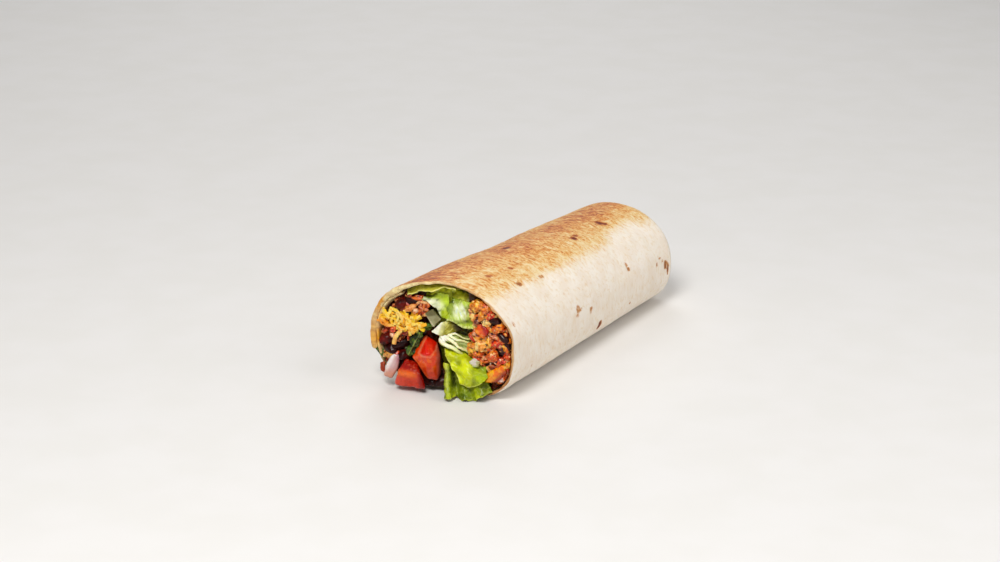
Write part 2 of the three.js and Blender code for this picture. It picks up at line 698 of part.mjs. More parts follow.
/** The part of the roll between two upright, curved faces. */
function between(left, right) {
  const block = new THREE.BoxGeometry(1, 1, 1, 1, 1, 8);
  return solidOf(
    reshape(block, ({ x, y, z }) => {
      const up = lerp(-BITE, MOUTH.height + BITE, z + 0.5);
      return new THREE.Vector3(lerp(left(up), right(up), x + 0.5), y * (LENGTH + 2 * DOME), up);
    }),
  );
}

const beanSide = () =>
  between(
    () => -farSide,
    (up) => saladLeft(up) - GAP / 2,
  );
const saladSide = () =>
  between(
    (up) => saladLeft(up) + GAP / 2,
    (up) => saladRight(up) - GAP / 2,
  );
const meatSide = () =>
  between(
    (up) => saladRight(up) + GAP / 2,
    () => farSide,
  );

/** All of the roll that lies deeper than a slightly uneven face. */
function behindFace(depth) {
  const block = new THREE.BoxGeometry(2, 1, 1, 4, 1, 4);
  return solidOf(
    reshape(block, ({ x, y, z }) => {
      const up = lerp(-BITE, MOUTH.height + BITE, z + 0.5);
      if (y > 0) return new THREE.Vector3(x * MOUTH.width, LENGTH, up);
      return inMouth(x * MOUTH.width, up, depth + 0.8 * Math.sin(4 * x + 5 * z));
    }),
  );
}

/** A filling: its bed, fused with what shows on it, kept on its own side of the roll. */
function filling(side, bedDepth, pieces) {
  return joined([behindFace(bedDepth), ...pieces]).intersect(fillingSpace()).intersect(side);
}

// Beans that show, as (across, up, depth, turn in the plane of the mouth).
const BEANS = [
  [-17.8, 43.6, 4.2, 0.3],
  [-12.2, 44.2, 5, 1.8],
  [-20.4, 39.6, 4.6, 1.1],
  [-27.2, 24.4, 3.6, 0.1],
  [-24.4, 19.8, 3.2, 1],
  [-19, 22.6, 4.2, 2.3],
  [-18.4, 17.6, 4, 0.7],
  [-23.4, 13.4, 5, 1.5],
  [-7.2, 4.6, 3.5, 1.4],
  [-1.6, 4.4, 4, 1.8],
];
const BEAN_LEAN = 0.4;
const RICE_TILT = 0.6; // the most a grain leans out of the plane of the mouth, in radians

// Where grains of rice show among the beans.
const RICE_HEAPS = [
  {
    outline: [[-12.8, 37], [-6.4, 36.8], [-5.6, 41.6], [-6.8, 44.6], [-9.2, 46.4], [-11.6, 44.6]],
    spacing: 3.6,
    depth: 3.8,
    seed: 5,
  },
  {
    outline: [[-29.6, 12.4], [-22.4, 12.4], [-20.5, 17], [-29.6, 17]],
    spacing: 4,
    depth: 3.2,
    seed: 6,
  },
  {
    outline: [[-25.6, 24.6], [-20.6, 25], [-15.5, 25.6], [-14.5, 29.6], [-26, 30]],
    spacing: 4.4,
    depth: 3.6,
    seed: 7,
  },
];

function beanRiceFilling() {
  const beans = BEANS.map(([across, up, depth, turn]) =>
    grain([across, up, depth], BEAN, new THREE.Euler(BEAN_LEAN, 0, turn)),
  );
  const rice = RICE_HEAPS.flatMap(({ outline, spacing, depth, seed }) =>
    scatter(outline, spacing, seed).map((spot) => grain([...spot, depth], RICE, anyTurn(RICE_TILT))),
  );
  return filling(beanSide(), BEAN_BED_DEPTH, [...beans, ...rice]);
}

// The meat and its rice, scattered inside one outline.
const MEAT_OUTLINE = [
  [16.4, 45], [22.3, 48], [26.6, 45.4], [30.6, 39.4], [33.4, 31.3], [34, 22], [32.6, 13.4],
  [29.4, 9.4], [25, 9], [22, 15.6], [14, 20.4], [13.2, 28], [16.2, 32],
];

const MEAT_LUMPS = { size: 8.4, spacing: 7.4, depth: 3.4, tilt: 1, seed: 3 };
const MEAT_GRAINS = { spacing: 8, depth: 1, seed: 4 };

// Black beans on the meat, as (across, up, depth, turn in degrees).
const MEAT_BEANS = [
  [26.6, 39, 1, 0],
  [29.8, 31.6, 1.2, -35],
  [31.6, 28.6, 2, -60],
];

function meatRiceFilling() {
  const { size, tilt } = MEAT_LUMPS;
  const lumps = scatter(MEAT_OUTLINE, MEAT_LUMPS.spacing, MEAT_LUMPS.seed).map((spot) =>
    lump([...spot, MEAT_LUMPS.depth], size, anyTurn(tilt)),
  );
  const rice = scatter(MEAT_OUTLINE, MEAT_GRAINS.spacing, MEAT_GRAINS.seed).map((spot) =>
    grain([...spot, MEAT_GRAINS.depth], RICE, anyTurn(RICE_TILT)),
  );
  const beans = MEAT_BEANS.map(([across, up, depth, turn]) =>
    grain([across, up, depth], BLACK_BEAN, new THREE.Euler(0, -degToRad(turn), Math.PI / 2)),
  );
  return filling(meatSide(), MEAT_BED_DEPTH, [...lumps, ...rice, ...beans]);
}

const saladFilling = () => filling(saladSide(), SALAD_BED_DEPTH, []);

// ---------------------------------------------------------------------------------------------
// Assembly

// Pieces in the order in which they make room for one another.
const PIECES = {
  tomato_large: { make: chunkNamed("tomato_large"), color: 0xd8442a },
  tomato_small: { make: chunkNamed("tomato_small"), color: 0xd65a2c },
  onion_slice: { make: chunkNamed("onion_slice"), color: 0xdcc3c4 },
  onion_bit: { make: chunkNamed("onion_bit"), color: 0xd5d3a8 },
  lettuce_tongue: { make: lettuceTongue, color: 0xb5c92a },
  lettuce_spill: { make: lettuceSpill, color: 0x8dac1e },
  lettuce_rib: { make: chunkNamed("lettuce_rib"), color: 0xb3b86c },
  lettuce_shreds: { make: lettuceShreds, color: 0xdde3b0 },
  pepper_strip: { make: chunkNamed("pepper_strip"), color: 0xe0802a },
  red_dice: { make: chunkNamed("red_dice"), color: 0xd4502c },
  tomato_bit: { make: chunkNamed("tomato_bit"), color: 0xb8502c },
  green_dice: { make: chunkNamed("green_dice"), color: 0x8f9678 },
  lettuce_upper_right: { make: lettuceUpperRight, color: 0xb2cd6b },
  lettuce_upper_left: { make: lettuceUpperLeft, color: 0xc7d98f },
  lettuce_top: { make: lettuceTop, color: 0x7c9a35 },
  lettuce_under_rim: { make: lettuceUnderRim, color: 0xa9b646 },
  rim_leaf: { make: rimLeaf, color: 0x4c5c2e },
  cilantro_leaf: { make: cilantroLeaf, color: 0x2f4a26 },
  cilantro_bit: { make: cilantroBit, color: 0x55762f },
  cheese_shreds: { make: cheeseShreds, color: 0xe9bd4e },
};
const FILLINGS = {
  bean_rice_filling: { make: beanRiceFilling, color: 0x5a2a1e },
  meat_rice_filling: { make: meatRiceFilling, color: 0xc0582a },
  salad_filling: { make: saladFilling, color: 0x6f8a3a },
};

const group = new THREE.Group();

function addMesh(name, solid, color, roughness) {
  const material = new THREE.MeshStandardMaterial({ color, roughness, metalness: 0 });
  const mesh = new THREE.Mesh(geometryOf(mainBody(solid.simplify(SLIVER))), material);
  mesh.name = name;
  group.add(mesh);
}

const DRY = 0.8; // roughness of the sheet, of cut food and of the sauced fillings
const MOIST = 0.4;
const SAUCED = 0.5;

addMesh("tortilla", tortilla(), 0xe8d5b0, DRY);
const taken = [tortillaWithGap()];
for (const [name, { make, color }] of Object.entries(PIECES)) {
  addMesh(name, without(make(0), taken), color, MOIST);
  taken.push(make(PIECE_GAP));
}
for (const [name, { make, color }] of Object.entries(FILLINGS)) {
  addMesh(name, without(make(), taken.slice(1)), color, SAUCED);
}

export default group;
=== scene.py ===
"""A burrito: a rolled tortilla, toasted on top, with its fillings at the open end.

Shapes are worked out in millimetres in the frame of the CAD part and written out in metres:
+Z is up, +Y runs along the roll to its folded end, and the open mouth faces -Y. Places in the
mouth are (across, up, depth), as seen slantwise by the camera. Colours are (red, green, blue)
as seen, from 0 to 255.
"""

import math

import bmesh
import bpy
import numpy as np
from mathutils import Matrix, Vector
from mathutils.kdtree import KDTree


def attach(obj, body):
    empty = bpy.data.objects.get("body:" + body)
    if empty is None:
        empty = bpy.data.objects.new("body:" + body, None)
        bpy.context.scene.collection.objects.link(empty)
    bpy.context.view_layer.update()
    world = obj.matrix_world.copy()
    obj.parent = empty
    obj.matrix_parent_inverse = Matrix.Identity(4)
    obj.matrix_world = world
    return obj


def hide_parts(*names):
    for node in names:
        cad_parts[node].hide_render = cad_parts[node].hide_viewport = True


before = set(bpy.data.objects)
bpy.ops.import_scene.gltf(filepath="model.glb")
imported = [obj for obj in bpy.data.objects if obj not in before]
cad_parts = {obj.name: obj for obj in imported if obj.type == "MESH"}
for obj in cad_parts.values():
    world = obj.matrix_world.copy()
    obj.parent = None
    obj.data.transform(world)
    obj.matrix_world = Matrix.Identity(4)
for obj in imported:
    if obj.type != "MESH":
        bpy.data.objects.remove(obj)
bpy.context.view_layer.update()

MM = 0.001
TURN = 2 * math.pi
QUARTER = math.pi / 2

# The roll, as in the CAD part. Angles round it run from +X over the top.
LENGTH = 177.0
MOUTH_WIDTH, MOUTH_HEIGHT = 68.4, 54.8
SHUT_WIDTH, SHUT_HEIGHT = 61.9, 46.5
WAIST = 0.47  # the widest place of the section, as a share of its height
TOP_POWER, BASE_POWER = 2.04, 2.96  # squareness of the section above and below the waist
BASE_SAG = 0.9  # how far the base would bulge below the floor, which flattens it
DOME = 18.0  # length of the rounded shut end
DOME_POWER = 2.2
STRAIGHT = LENGTH - DOME
MOUTH_YAW, MOUTH_PITCH = 0.172, -0.081  # slopes of the plane of the mouth
DENT = 0.45  # depth of the low swells of the skin
SHEET = 1.7  # thickness of the tortilla
LAP_GAP = 0.5  # between the sheet's layers where it laps
INNER_EDGE = math.radians(126)  # where the sheet starts
SEAM = math.radians(191)  # where it ends at the mouth, one turn on
SEAM_DRIFT = math.radians(22)  # how much further on it ends at the shut end
SEAM_FADE = math.radians(26)  # over which the layer under the lap comes back to the outline
FOLD_WALL = 6.0  # thickness of the folded end
FOLD_DEPTH = 1.9
FOLD_RADIUS = 0.86  # share of the end's radius where the spiral fold begins
FOLD_PITCH = 0.46  # how much of the radius it closes in with each turn
FOLD_LIP = 0.34
FOLD_START = math.radians(215)
RIM_WAVE = 0.5
RIM_SETBACK = 6.0  # how far the rim is drawn back where the fillings spill over it
GAP = 0.3  # least gap between pieces
SIGHT_ACROSS, SIGHT_UP = 0.568, 0.376  # how far a line of sight moves for each mm of depth
LEAF_REST = 0.9  # lowest height of the middle of the leaf that touches down

CLEARANCE = 0.2  # kept under the cut pieces, and round the loose fillings besides the gap
SKIN_RADIUS = 28.0  # mm round the skin for each radian
END_RADIUS = 24.0  # mm along the skin for each radian over the shut end
DEGREE_ROUND = 0.56  # mm round the skin for each degree


# ---------------------------------------------------------------------------------------------
# Numbers and colours


def lerp(a, b, t):
    return a + (b - a) * t


def rise(value, low, high):
    """0 below low, 1 above high, and a smooth step between them."""
    t = np.clip((value - low) / (high - low), 0, 1)
    return t * t * (3 - 2 * t)


def fall(value, low, high):
    return 1 - rise(value, low, high)


def bump(value, centre, width):
    return np.exp(-(((value - centre) / width) ** 2))


def blot(across, up, centre, reach):
    """1 at a centre, fading away round it within a reach across and up."""
    return bump(np.hypot((across - centre[0]) / reach[0], (up - centre[1]) / reach[1]), 0, 1)


def superellipse(value, power):
    return np.sign(value) * np.abs(value) ** (2 / power)


def rounded(share):
    """How thick a round edge is at a share of the way in, where 1 is its full thickness."""
    return np.sqrt(np.clip(1 - (1 - np.clip(share, 0, 1)) ** 2, 0, 1))


def points(x, y, z):
    return np.stack(np.broadcast_arrays(x, y, z), axis=-1).astype(float)


def unit(vectors):
    return vectors / np.maximum(np.linalg.norm(vectors, axis=-1, keepdims=True), 1e-9)


def lattice(cell, seed):
    """A random value from -1 to 1 for every cell corner of a grid in space."""
    cell = cell.astype(np.int64).astype(np.uint32)
    h = cell[..., 0] * np.uint32(374761393) + cell[..., 1] * np.uint32(668265263)
    h = h + cell[..., 2] * np.uint32(2246822519) + np.uint32(seed * 3266489917 % 2**32)
    h = (h ^ (h >> np.uint32(13))) * np.uint32(1274126177)
    h = (h ^ (h >> np.uint32(15))) * np.uint32(2246822519)
    return (h ^ (h >> np.uint32(16))).astype(float) / 2**31 - 1


def noise(places, size, seed):
    """Smooth noise from -1 to 1 with features of the given size in millimetres."""
    scaled = np.asarray(places, float) / size
    cell = np.floor(scaled)
    t = scaled - cell
    t = t * t * t * (t * (6 * t - 15) + 10)
    total = 0.0
    for corner in np.ndindex(2, 2, 2):
        weight = np.where(corner, t, 1 - t).prod(-1)
        total = total + weight * lattice(cell + corner, seed)
    return total


def rough(places, size, seed, octaves=3):
    """Noise of several sizes, each half the one before."""
    total, weight = 0.0, 1.0
    for octave in range(octaves):
        total = total + weight * noise(places, size / 2**octave, seed + 17 * octave)
        weight *= 0.5
    return total / 1.5


def warp_of(places, size, seed, count=3):
    """Noise of its own in each of a few directions."""
    return np.stack([noise(places, size, seed + k) for k in range(count)], axis=-1)


def rgb(red, green, blue):
    """A colour as seen, in the linear values that shaders use."""
    seen = np.array([red, green, blue]) / 255
    return np.where(seen <= 0.04045, seen / 12.92, ((seen + 0.055) / 1.055) ** 2.4)


def blend(first, second, share):
    """Mixes linear colours point by point."""
    return first + (second - first) * np.clip(share, 0, 1)[..., None]


def painted(base, *coats):
    """A base colour, or a tint, with coats of (colour, how much it covers) over it."""
    base = rgb(*base) if isinstance(base, tuple) else base
    for colour, cover in coats:
        base = blend(base, rgb(*colour), cover)
    return base


def within(corners, across, up):
    """Distance inside a convex region, negative outside; the corners run anticlockwise."""
    inside = np.full(np.shape(across), np.inf)
    for (x1, z1), (x2, z2) in zip(corners, corners[1:] + corners[:1]):
        edge = math.hypot(x2 - x1, z2 - z1)
        inside = np.minimum(inside, ((x2 - x1) * (up - z1) - (z2 - z1) * (across - x1)) / edge)
    return inside


# ---------------------------------------------------------------------------------------------
# Meshes. A shape is (points, faces); a face has four corners, the last one -1 in a triangle.


def grid_shares(rows, columns):
    """How far each place of a grid lies along its rows and columns, from 0 to 1."""
    return np.meshgrid(np.linspace(0, 1, rows), np.linspace(0, 1, columns), indexing="ij")


def grid_normals(place):
    return unit(np.cross(np.gradient(place, axis=1), np.gradient(place, axis=0)))


def grid_faces(rows, columns, wrap=False):
    index = np.arange(rows * columns).reshape(rows, columns)
    if wrap:
        index = np.hstack([index, index[:, :1]])
    corners = [index[:-1, :-1], index[:-1, 1:], index[1:, 1:], index[1:, :-1]]
    return np.stack(corners, axis=-1).reshape(-1, 4)


def merge(shapes):
    """Shapes put into one, unjoined."""
    start, all_points, all_faces = 0, [], []
    for place, faces in shapes:
        all_points.append(place)
        all_faces.append(np.where(faces >= 0, faces + start, -1))
        start += len(place)
    return np.concatenate(all_points), np.concatenate(all_faces)


def welded(place, faces, values=()):
    """Joins points that coincide, and turns faces that lose a corner into triangles."""
    keys = np.round(place / 1e-3).astype(np.int64)
    _, first, index = np.unique(keys, axis=0, return_index=True, return_inverse=True)
    faces = index.reshape(-1)[faces]
    same = faces == np.roll(faces, -1, axis=1)
    kept = [faces[~same.any(axis=1)]]
    for corner in range(4):
        rows = faces[same[:, corner] & (same.sum(axis=1) == 1)]
        triangle = np.delete(rows, corner, axis=1)
        kept.append(np.hstack([triangle, np.full((len(rows), 1), -1)]))
    return (place[first], np.concatenate(kept)), *(value[first] for value in values)


def link(name, data):
    """Puts a mesh, lamp or camera into the scene."""
    made = bpy.data.objects.new(name, data)
    bpy.context.scene.collection.objects.link(made)
    return made


def add_piece(name, shape, material, slot, *nodes, **values):
    """A smooth mesh piece of the body, with the given value or colour at each point."""
    place, faces = shape
    mesh = bpy.data.meshes.new(name)
    corners = np.where(faces[:, 3] < 0, 3, 4)
    loops = faces[faces >= 0]
    mesh.vertices.add(len(place))
    mesh.vertices.foreach_set("co", (place * MM).ravel())
    mesh.loops.add(len(loops))
    mesh.loops.foreach_set("vertex_index", loops.astype(np.int32))
    mesh.polygons.add(len(faces))
    mesh.polygons.foreach_set("loop_start", (np.cumsum(corners) - corners).astype(np.int32))
    mesh.polygons.foreach_set("use_smooth", np.ones(len(faces), bool))
    mesh.update(calc_edges=True)
    for key, value in values.items():
        if value.ndim == 1:
            layer = mesh.attributes.new(key, "FLOAT", "POINT")
            layer.data.foreach_set("value", value.astype(np.float32))
        else:
            layer = mesh.attributes.new(key, "FLOAT_COLOR", "POINT")
            colour = np.hstack([value, np.ones((len(value), 1))])
            layer.data.foreach_set("color", colour.astype(np.float32).ravel())
    mesh.materials.append(material)
    made = link(name, mesh)
    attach(made, "root")
    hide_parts(*nodes)


def tube(place):
    """The skin through rings of points, shut where a ring is a single point."""
    rings, sides = place.shape[:2]
    return welded(place.reshape(-1, 3), grid_faces(rings, sides, wrap=True))[0]


def ball(rings, sides):
    """A unit ball from pole to pole along Y."""
    polar = np.linspace(0, math.pi, rings)[:, None]
    around = np.arange(sides)[None, :] * TURN / sides
    across, up = np.sin(polar) * np.cos(around), np.sin(polar) * np.sin(around)
    return tube(points(across, np.cos(polar), up))


def smooth_curve(places, count):
    """Points of a smooth curve through the places, evenly spaced in its parameter."""
    places = np.asarray(places, float)
    padded = np.vstack([2 * places[0] - places[1], places, 2 * places[-1] - places[-2]])
    at = np.linspace(0, len(places) - 1, count)
    start = np.minimum(at.astype(int), len(places) - 2)
    t = (at - start)[:, None]
    a, b, c, d = (padded[start + k] for k in range(4))
    square, cube = 2 * a - 5 * b + 4 * c - d, 3 * b - 3 * c + d - a
    return 0.5 * (2 * b + (c - a) * t + square * t**2 + cube * t**3)


def strand(places, width, twist, seed):
    """A shred along a curve, with a rounded flat section and blunt ends."""
    rings, sides, squareness, blunt = 22, 16, 5.0, 0.06
    curve = smooth_curve(places, rings)
    along = unit(np.gradient(curve, axis=0))
    sideways = unit(np.cross(along, np.array([0.0, 1.0, 0.0])))
    outward = np.cross(sideways, along)
    share = np.linspace(0, 1, rings)
    ends = np.sqrt(np.clip(1 - np.abs(2 * share - 1) ** (2 / blunt), 0, 1))[:, None, None]
    around = np.arange(sides) * TURN / sides
    wide = (width / 2) * superellipse(np.cos(around), squareness)[None, :, None]
    thick = (width * 0.6 / 2) * superellipse(np.sin(around), squareness)[None, :, None]
    turn = (twist * (share - 0.5))[:, None, None]
    across = sideways[:, None] * np.cos(turn) + outward[:, None] * np.sin(turn)
    facing = outward[:, None] * np.cos(turn) - sideways[:, None] * np.sin(turn)
    offset = across * wide + facing * thick
    place = curve[:, None] + ends * offset
    return tube(place + ends * 0.12 * width * noise(place, 2.2, seed)[..., None] * unit(offset))


def turned(place, turn_x, turn_y, turn_z):
    """Turns points about Z, then Y, then X."""
    rotate = np.eye(3)
    for axis, angle in ((2, turn_z), (1, turn_y), (0, turn_x)):
        cos, sin = math.cos(angle), math.sin(angle)
        step = np.eye(3)
        i, j = [(1, 2), (2, 0), (0, 1)][axis]
        step[i, i], step[i, j], step[j, i], step[j, j] = cos, -sin, sin, cos
        rotate = step @ rotate
    return place @ rotate.T


def remeshed(work, voxel, soften):
    """An even mesh about the bmesh, softened; gives its points, faces and normals."""
    mesh = bpy.data.meshes.new("block")
    work.to_mesh(mesh)
    work.free()
    made = link("block", mesh)
    remesh = made.modifiers.new("remesh", "REMESH")
    remesh.mode = "VOXEL"
    remesh.voxel_size = voxel * MM
    graph = bpy.context.evaluated_depsgraph_get()
    even = bpy.data.meshes.new_from_object(made.evaluated_get(graph))
    work = bmesh.new()
    work.from_mesh(even)
    every_way = {"use_axis_x": True, "use_axis_y": True, "use_axis_z": True}
    for _ in range(soften):
        bmesh.ops.smooth_vert(work, verts=work.verts, factor=0.5, **every_way)
    work.normal_update()
    place = np.array([vert.co for vert in work.verts]) / MM
    normal = np.array([vert.normal for vert in work.verts])
    corners = [[vert.index for vert in face.verts] for face in work.faces]
    faces = np.array([face + [-1] * (4 - len(face)) for face in corners])
    work.free()
    bpy.data.objects.remove(made)
    bpy.data.meshes.remove(mesh)
    bpy.data.meshes.remove(even)
    return place, faces, normal


def hull_block(corners, roundness, voxel, plump=0.0):
    """A rounded block: the hull of small balls at its corners, remeshed evenly and softened."""
    ball_points = ball(9, 14)[0] * (roundness + plump)
    centres = np.array([shown_at(*corner) for corner in corners])
    centres = centres - plump * unit(centres - centres.mean(0))
    cloud = np.concatenate([centre + ball_points for centre in centres])
    work = bmesh.new()
    for place in cloud * MM:
        work.verts.new(place)
    hull = bmesh.ops.convex_hull(work, input=work.verts)
    loose = set(hull["geom_interior"] + hull["geom_unused"])
    spare = [part for part in loose if isinstance(part, bmesh.types.BMVert)]
    bmesh.ops.delete(work, geom=spare, context="VERTS")
    return remeshed(work, voxel, soften=4)


def fused(shapes, voxel):
    """Overlapping shapes grown together into one even skin."""
    place, faces = merge(shapes)
    work = bmesh.new()
    verts = [work.verts.new(point) for point in place * MM]
    for face in faces:
        work.faces.new([verts[corner] for corner in face if corner >= 0])
    return remeshed(work, voxel, soften=1)


def roughened(place, normal, relief, size, seed):
    return place + normal * (relief * rough(place, size, seed))[:, None]


def nearest_value(place, sources, values):
    """For each point, the value of the nearest source point."""
    tree = KDTree(len(sources))
    for index, source in enumerate(sources):
        tree.insert(source, index)
    tree.balance()
    return values[[tree.find(point)[1] for point in place]]


def hollowness(place, faces, normal, reach=10):
    """How far each point lies below (positive) or above its surroundings, in millimetres."""
    corners = faces[faces[:, 3] >= 0]
    pairs = np.concatenate([corners[:, [k, (k + 1) % 4]] for k in range(4)])
    near, far = np.concatenate([pairs, pairs[:, ::-1]]).T
    count = np.maximum(np.bincount(near, minlength=len(place)), 1)[:, None]
    around = place
    for _ in range(reach):
        sums = [np.bincount(near, around[far, k], len(place)) for k in range(3)]
        around = np.stack(sums, axis=-1) / count
    return ((around - place) * normal).sum(-1)


# ---------------------------------------------------------------------------------------------
# The roll's shape


def mouth_plane(x, z):
    return -LENGTH / 2 + MOUTH_YAW * x + MOUTH_PITCH * (z - MOUTH_HEIGHT / 2)


def in_mouth(across, up, depth):
    return points(across, mouth_plane(across, up) + depth, up)


def shown_at(across, up, depth):
    """The point at a depth that shows at (across, up) in the plane of the mouth."""
    return in_mouth(across - SIGHT_ACROSS * depth, up - SIGHT_UP * depth, depth)


def seen_from_front(places):
    """The (across, up) at which points show in the plane of the mouth."""
    x, y, z = places[..., 0], places[..., 1], places[..., 2]
    depth = y - mouth_plane(x, z)
    return x + SIGHT_ACROSS * depth, z + SIGHT_UP * depth


def section_point(angle, share, inset):
    """The outline's (x, z) at an angle, and the middle's height, at a share of the length."""
    height = lerp(MOUTH_HEIGHT, SHUT_HEIGHT, share)
    waist = WAIST * height
    upper = np.sin(angle) >= 0
    power = np.where(upper, TOP_POWER, BASE_POWER)
    reach = np.where(upper, height - waist, waist + BASE_SAG) - inset
    half_width = lerp(MOUTH_WIDTH, SHUT_WIDTH, share) / 2 - inset
    x = half_width * superellipse(np.cos(angle), power)
    z = waist + reach * superellipse(np.sin(angle), power)
    return x, np.maximum(z, inset), height / 2


def skin_point(angle, straight, arc, inset, fold, start, end):
    """A point of a skin inset below the outline, and fold deeper at the shut end."""
    share = straight * STRAIGHT / LENGTH
    x, z, middle = section_point(angle, share, inset + fold * np.cos(arc))
    y = lerp(mouth_plane(x, z) + start, end - DOME, straight)
    scale = superellipse(np.cos(arc), DOME_POWER)
    along = (DOME - fold) * superellipse(np.sin(arc), DOME_POWER)
    return points(x * scale, y + along, middle + (z - middle) * scale)


def kept_inside(place, radius):
    """Moves points that lie nearer the sheet than a radius towards the middle of the mouth."""
    waist = WAIST * MOUTH_HEIGHT
    x, up = place[..., 0], place[..., 2] - waist
    past = np.mod(np.arctan2(up, x), TURN) - SEAM
    lap = np.where(past > 0, fall(past, 0, SEAM_FADE), past > INNER_EDGE - SEAM)
    inset = SHEET + GAP + radius + lap * (SHEET + LAP_GAP)
    power = np.where(up >= 0, TOP_POWER, BASE_POWER)
    reach = np.where(up >= 0, MOUTH_HEIGHT - waist, waist + BASE_SAG) - inset
    half_width = MOUTH_WIDTH / 2 - inset
    size = (np.abs(x / half_width) ** power + np.abs(up / reach) ** power) ** (1 / power)
    shrink = 1 / np.maximum(size, 1)
    return points(x * shrink, place[..., 1], np.maximum(waist + up * shrink, inset))


def dent(angle, along):
    swell = np.sin(3 * angle + 0.05 * along) + 0.8 * np.sin(2 * angle - 0.083 * along + 1)
    return DENT * (swell - 1.2) * -0.5 * np.clip(np.sin(angle) + 0.9, 0, 1)


def fold_depth(angle, arc):
    """How deep the spiral fold lies that closes the shut end."""
    radius = np.cos(arc)
    turn = np.mod(angle - FOLD_START, TURN) / TURN
    inward = (FOLD_RADIUS - radius) / FOLD_PITCH - turn
    layer = np.mod(inward, 1)
    started = rise(turn + np.floor(inward), 0, 0.25) * rise(inward, 0, FOLD_LIP)
    dip = rise(layer, 0, FOLD_LIP) * fall(layer, FOLD_LIP, 1)
    centre = fall(radius, 0, FOLD_PITCH / 2)
    return np.where(inward < 0, 0, FOLD_DEPTH * started * lerp(lerp(0.3, 1, dip), 0.8, centre))


def pleats(angle, arc):
    """How deep the creases are where the sheet is gathered at the shut end."""
    radius = np.cos(arc)
    swirl = angle + 0.9 * (1 - radius) + 0.25 * np.sin(2 * angle + 1) + 0.12 * np.sin(5 * angle)
    wide = (0.5 + 0.5 * np.sin(9 * swirl)) ** 3
    narrow = 0.5 * (0.5 + 0.5 * np.sin(16 * swirl + 2)) ** 4
    gathered = rise(arc, 0.5, 1.15) * rise(radius, 0.0, 0.2)
    return 1.5 * (wide + narrow) * gathered


def rim_depth(angle):
    """How far back the rim lies."""
    turned_by = np.mod(angle, TURN)
    wave = RIM_WAVE * (0.6 * np.sin(5 * turned_by + 1) + 0.4 * np.sin(9 * turned_by))
    spill = rise(turned_by, math.radians(196), math.radians(225))
    spill = spill * fall(turned_by, math.radians(268), math.radians(306))
    return wave + RIM_SETBACK * spill


# ---------------------------------------------------------------------------------------------
# Materials


class Shader:
    """A Principled material built up from nodes."""

    def __init__(self, name, **fixed):
        self.material = bpy.data.materials.new(name)
        self.material.use_nodes = True
        self.tree = self.material.node_tree
        self.surface = self.tree.nodes["Principled BSDF"]
        for key, value in fixed.items():
            self.surface.inputs[key.replace("_", " ")].default_value = value

    def put(self, socket, value):
        """Links a socket to a node's output, or sets it to a number, vector or colour."""
        if isinstance(value, bpy.types.NodeSocket):
            self.tree.links.new(value, socket)
        elif socket.type == "RGBA":
            socket.default_value = (*rgb(*value), 1)
        else:
            socket.default_value = value

    def node(self, kind, output=0, **inputs):
        """A node's output. A key names a property or a socket, or is i and a socket's number."""
        made = self.tree.nodes.new("ShaderNode" + kind)
        settings = {key for key in inputs if key in made.bl_rna.properties}
        for key in settings:
            setattr(made, key, inputs[key])
        for key, value in inputs.items():
            if key not in settings:
                numbered = key[0] == "i" and key[1:].isdigit()
                socket = made.inputs[int(key[1:]) if numbered else key.replace("_", " ")]
                self.put(socket, value)
        return made.outputs[output]

    def attribute(self, name):
        return self.node("Attribute", output=2, attribute_name=name)

    def colour_attribute(self, name):
        return self.node("Attribute", attribute_name=name)

    def place(self):
        return self.node("TexCoord", output="Object")

    def noise(self, vector, scale, detail=3.0, roughness=0.55, distortion=0.0):
        settings = {"Detail": detail, "Roughness": roughness, "Distortion": distortion}
        return self.node("TexNoise", Vector=vector, Scale=scale, **settings)

    def veins(self, vector, scale, width):
        """1 along the edges of irregular cells, 0 beyond a width from them."""
        apart = self.node("TexVoronoi", feature="DISTANCE_TO_EDGE", Vector=vector, Scale=scale)
        return self.range(apart, 0.0, width, 1.0, 0.0)

    def math(self, operation, first, second=0.0, third=0.0):
        return self.node("Math", operation=operation, i0=first, i1=second, i2=third)

    def times(self, first, second):
        return self.math("MULTIPLY", first, second)

    def scaled(self, value, factor, onto):
        """value * factor + onto"""
        return self.math("MULTIPLY_ADD", value, factor, onto)

    def centred(self, noise):
        return self.math("SUBTRACT", noise, 0.5)

    def range(self, value, low, high, to_low=0.0, to_high=1.0):
        ends = {"From_Min": low, "From_Max": high, "To_Min": to_low, "To_Max": to_high}
        return self.node("MapRange", interpolation_type="SMOOTHSTEP", Value=value, **ends)

    def mix(self, share, first, second, mode="MIX"):
        settings = {"data_type": "RGBA", "blend_type": mode}
        return self.node("Mix", output=2, i0=share, i6=first, i7=second, **settings)

    def stretch(self, vector, x, y, z):
        return self.node("VectorMath", operation="MULTIPLY", i0=vector, i1=(x, y, z))

    def bent(self, vector, warp, *reach):
        """Coordinates pushed about by a noise."""
        warp = self.stretch(warp, *reach)
        return self.node("VectorMath", operation="ADD", i0=vector, i1=warp)

    def bump(self, height, distance, strength=1.0):
        return self.node("Bump", Height=height, Strength=strength, Distance=distance * MM)

    def finish(self, colour, roughness, normal=None):
        self.put(self.surface.inputs["Base Color"], colour)
        self.put(self.surface.inputs["Roughness"], roughness)
        if normal is not None:
            self.put(self.surface.inputs["Normal"], normal)
        return self.material


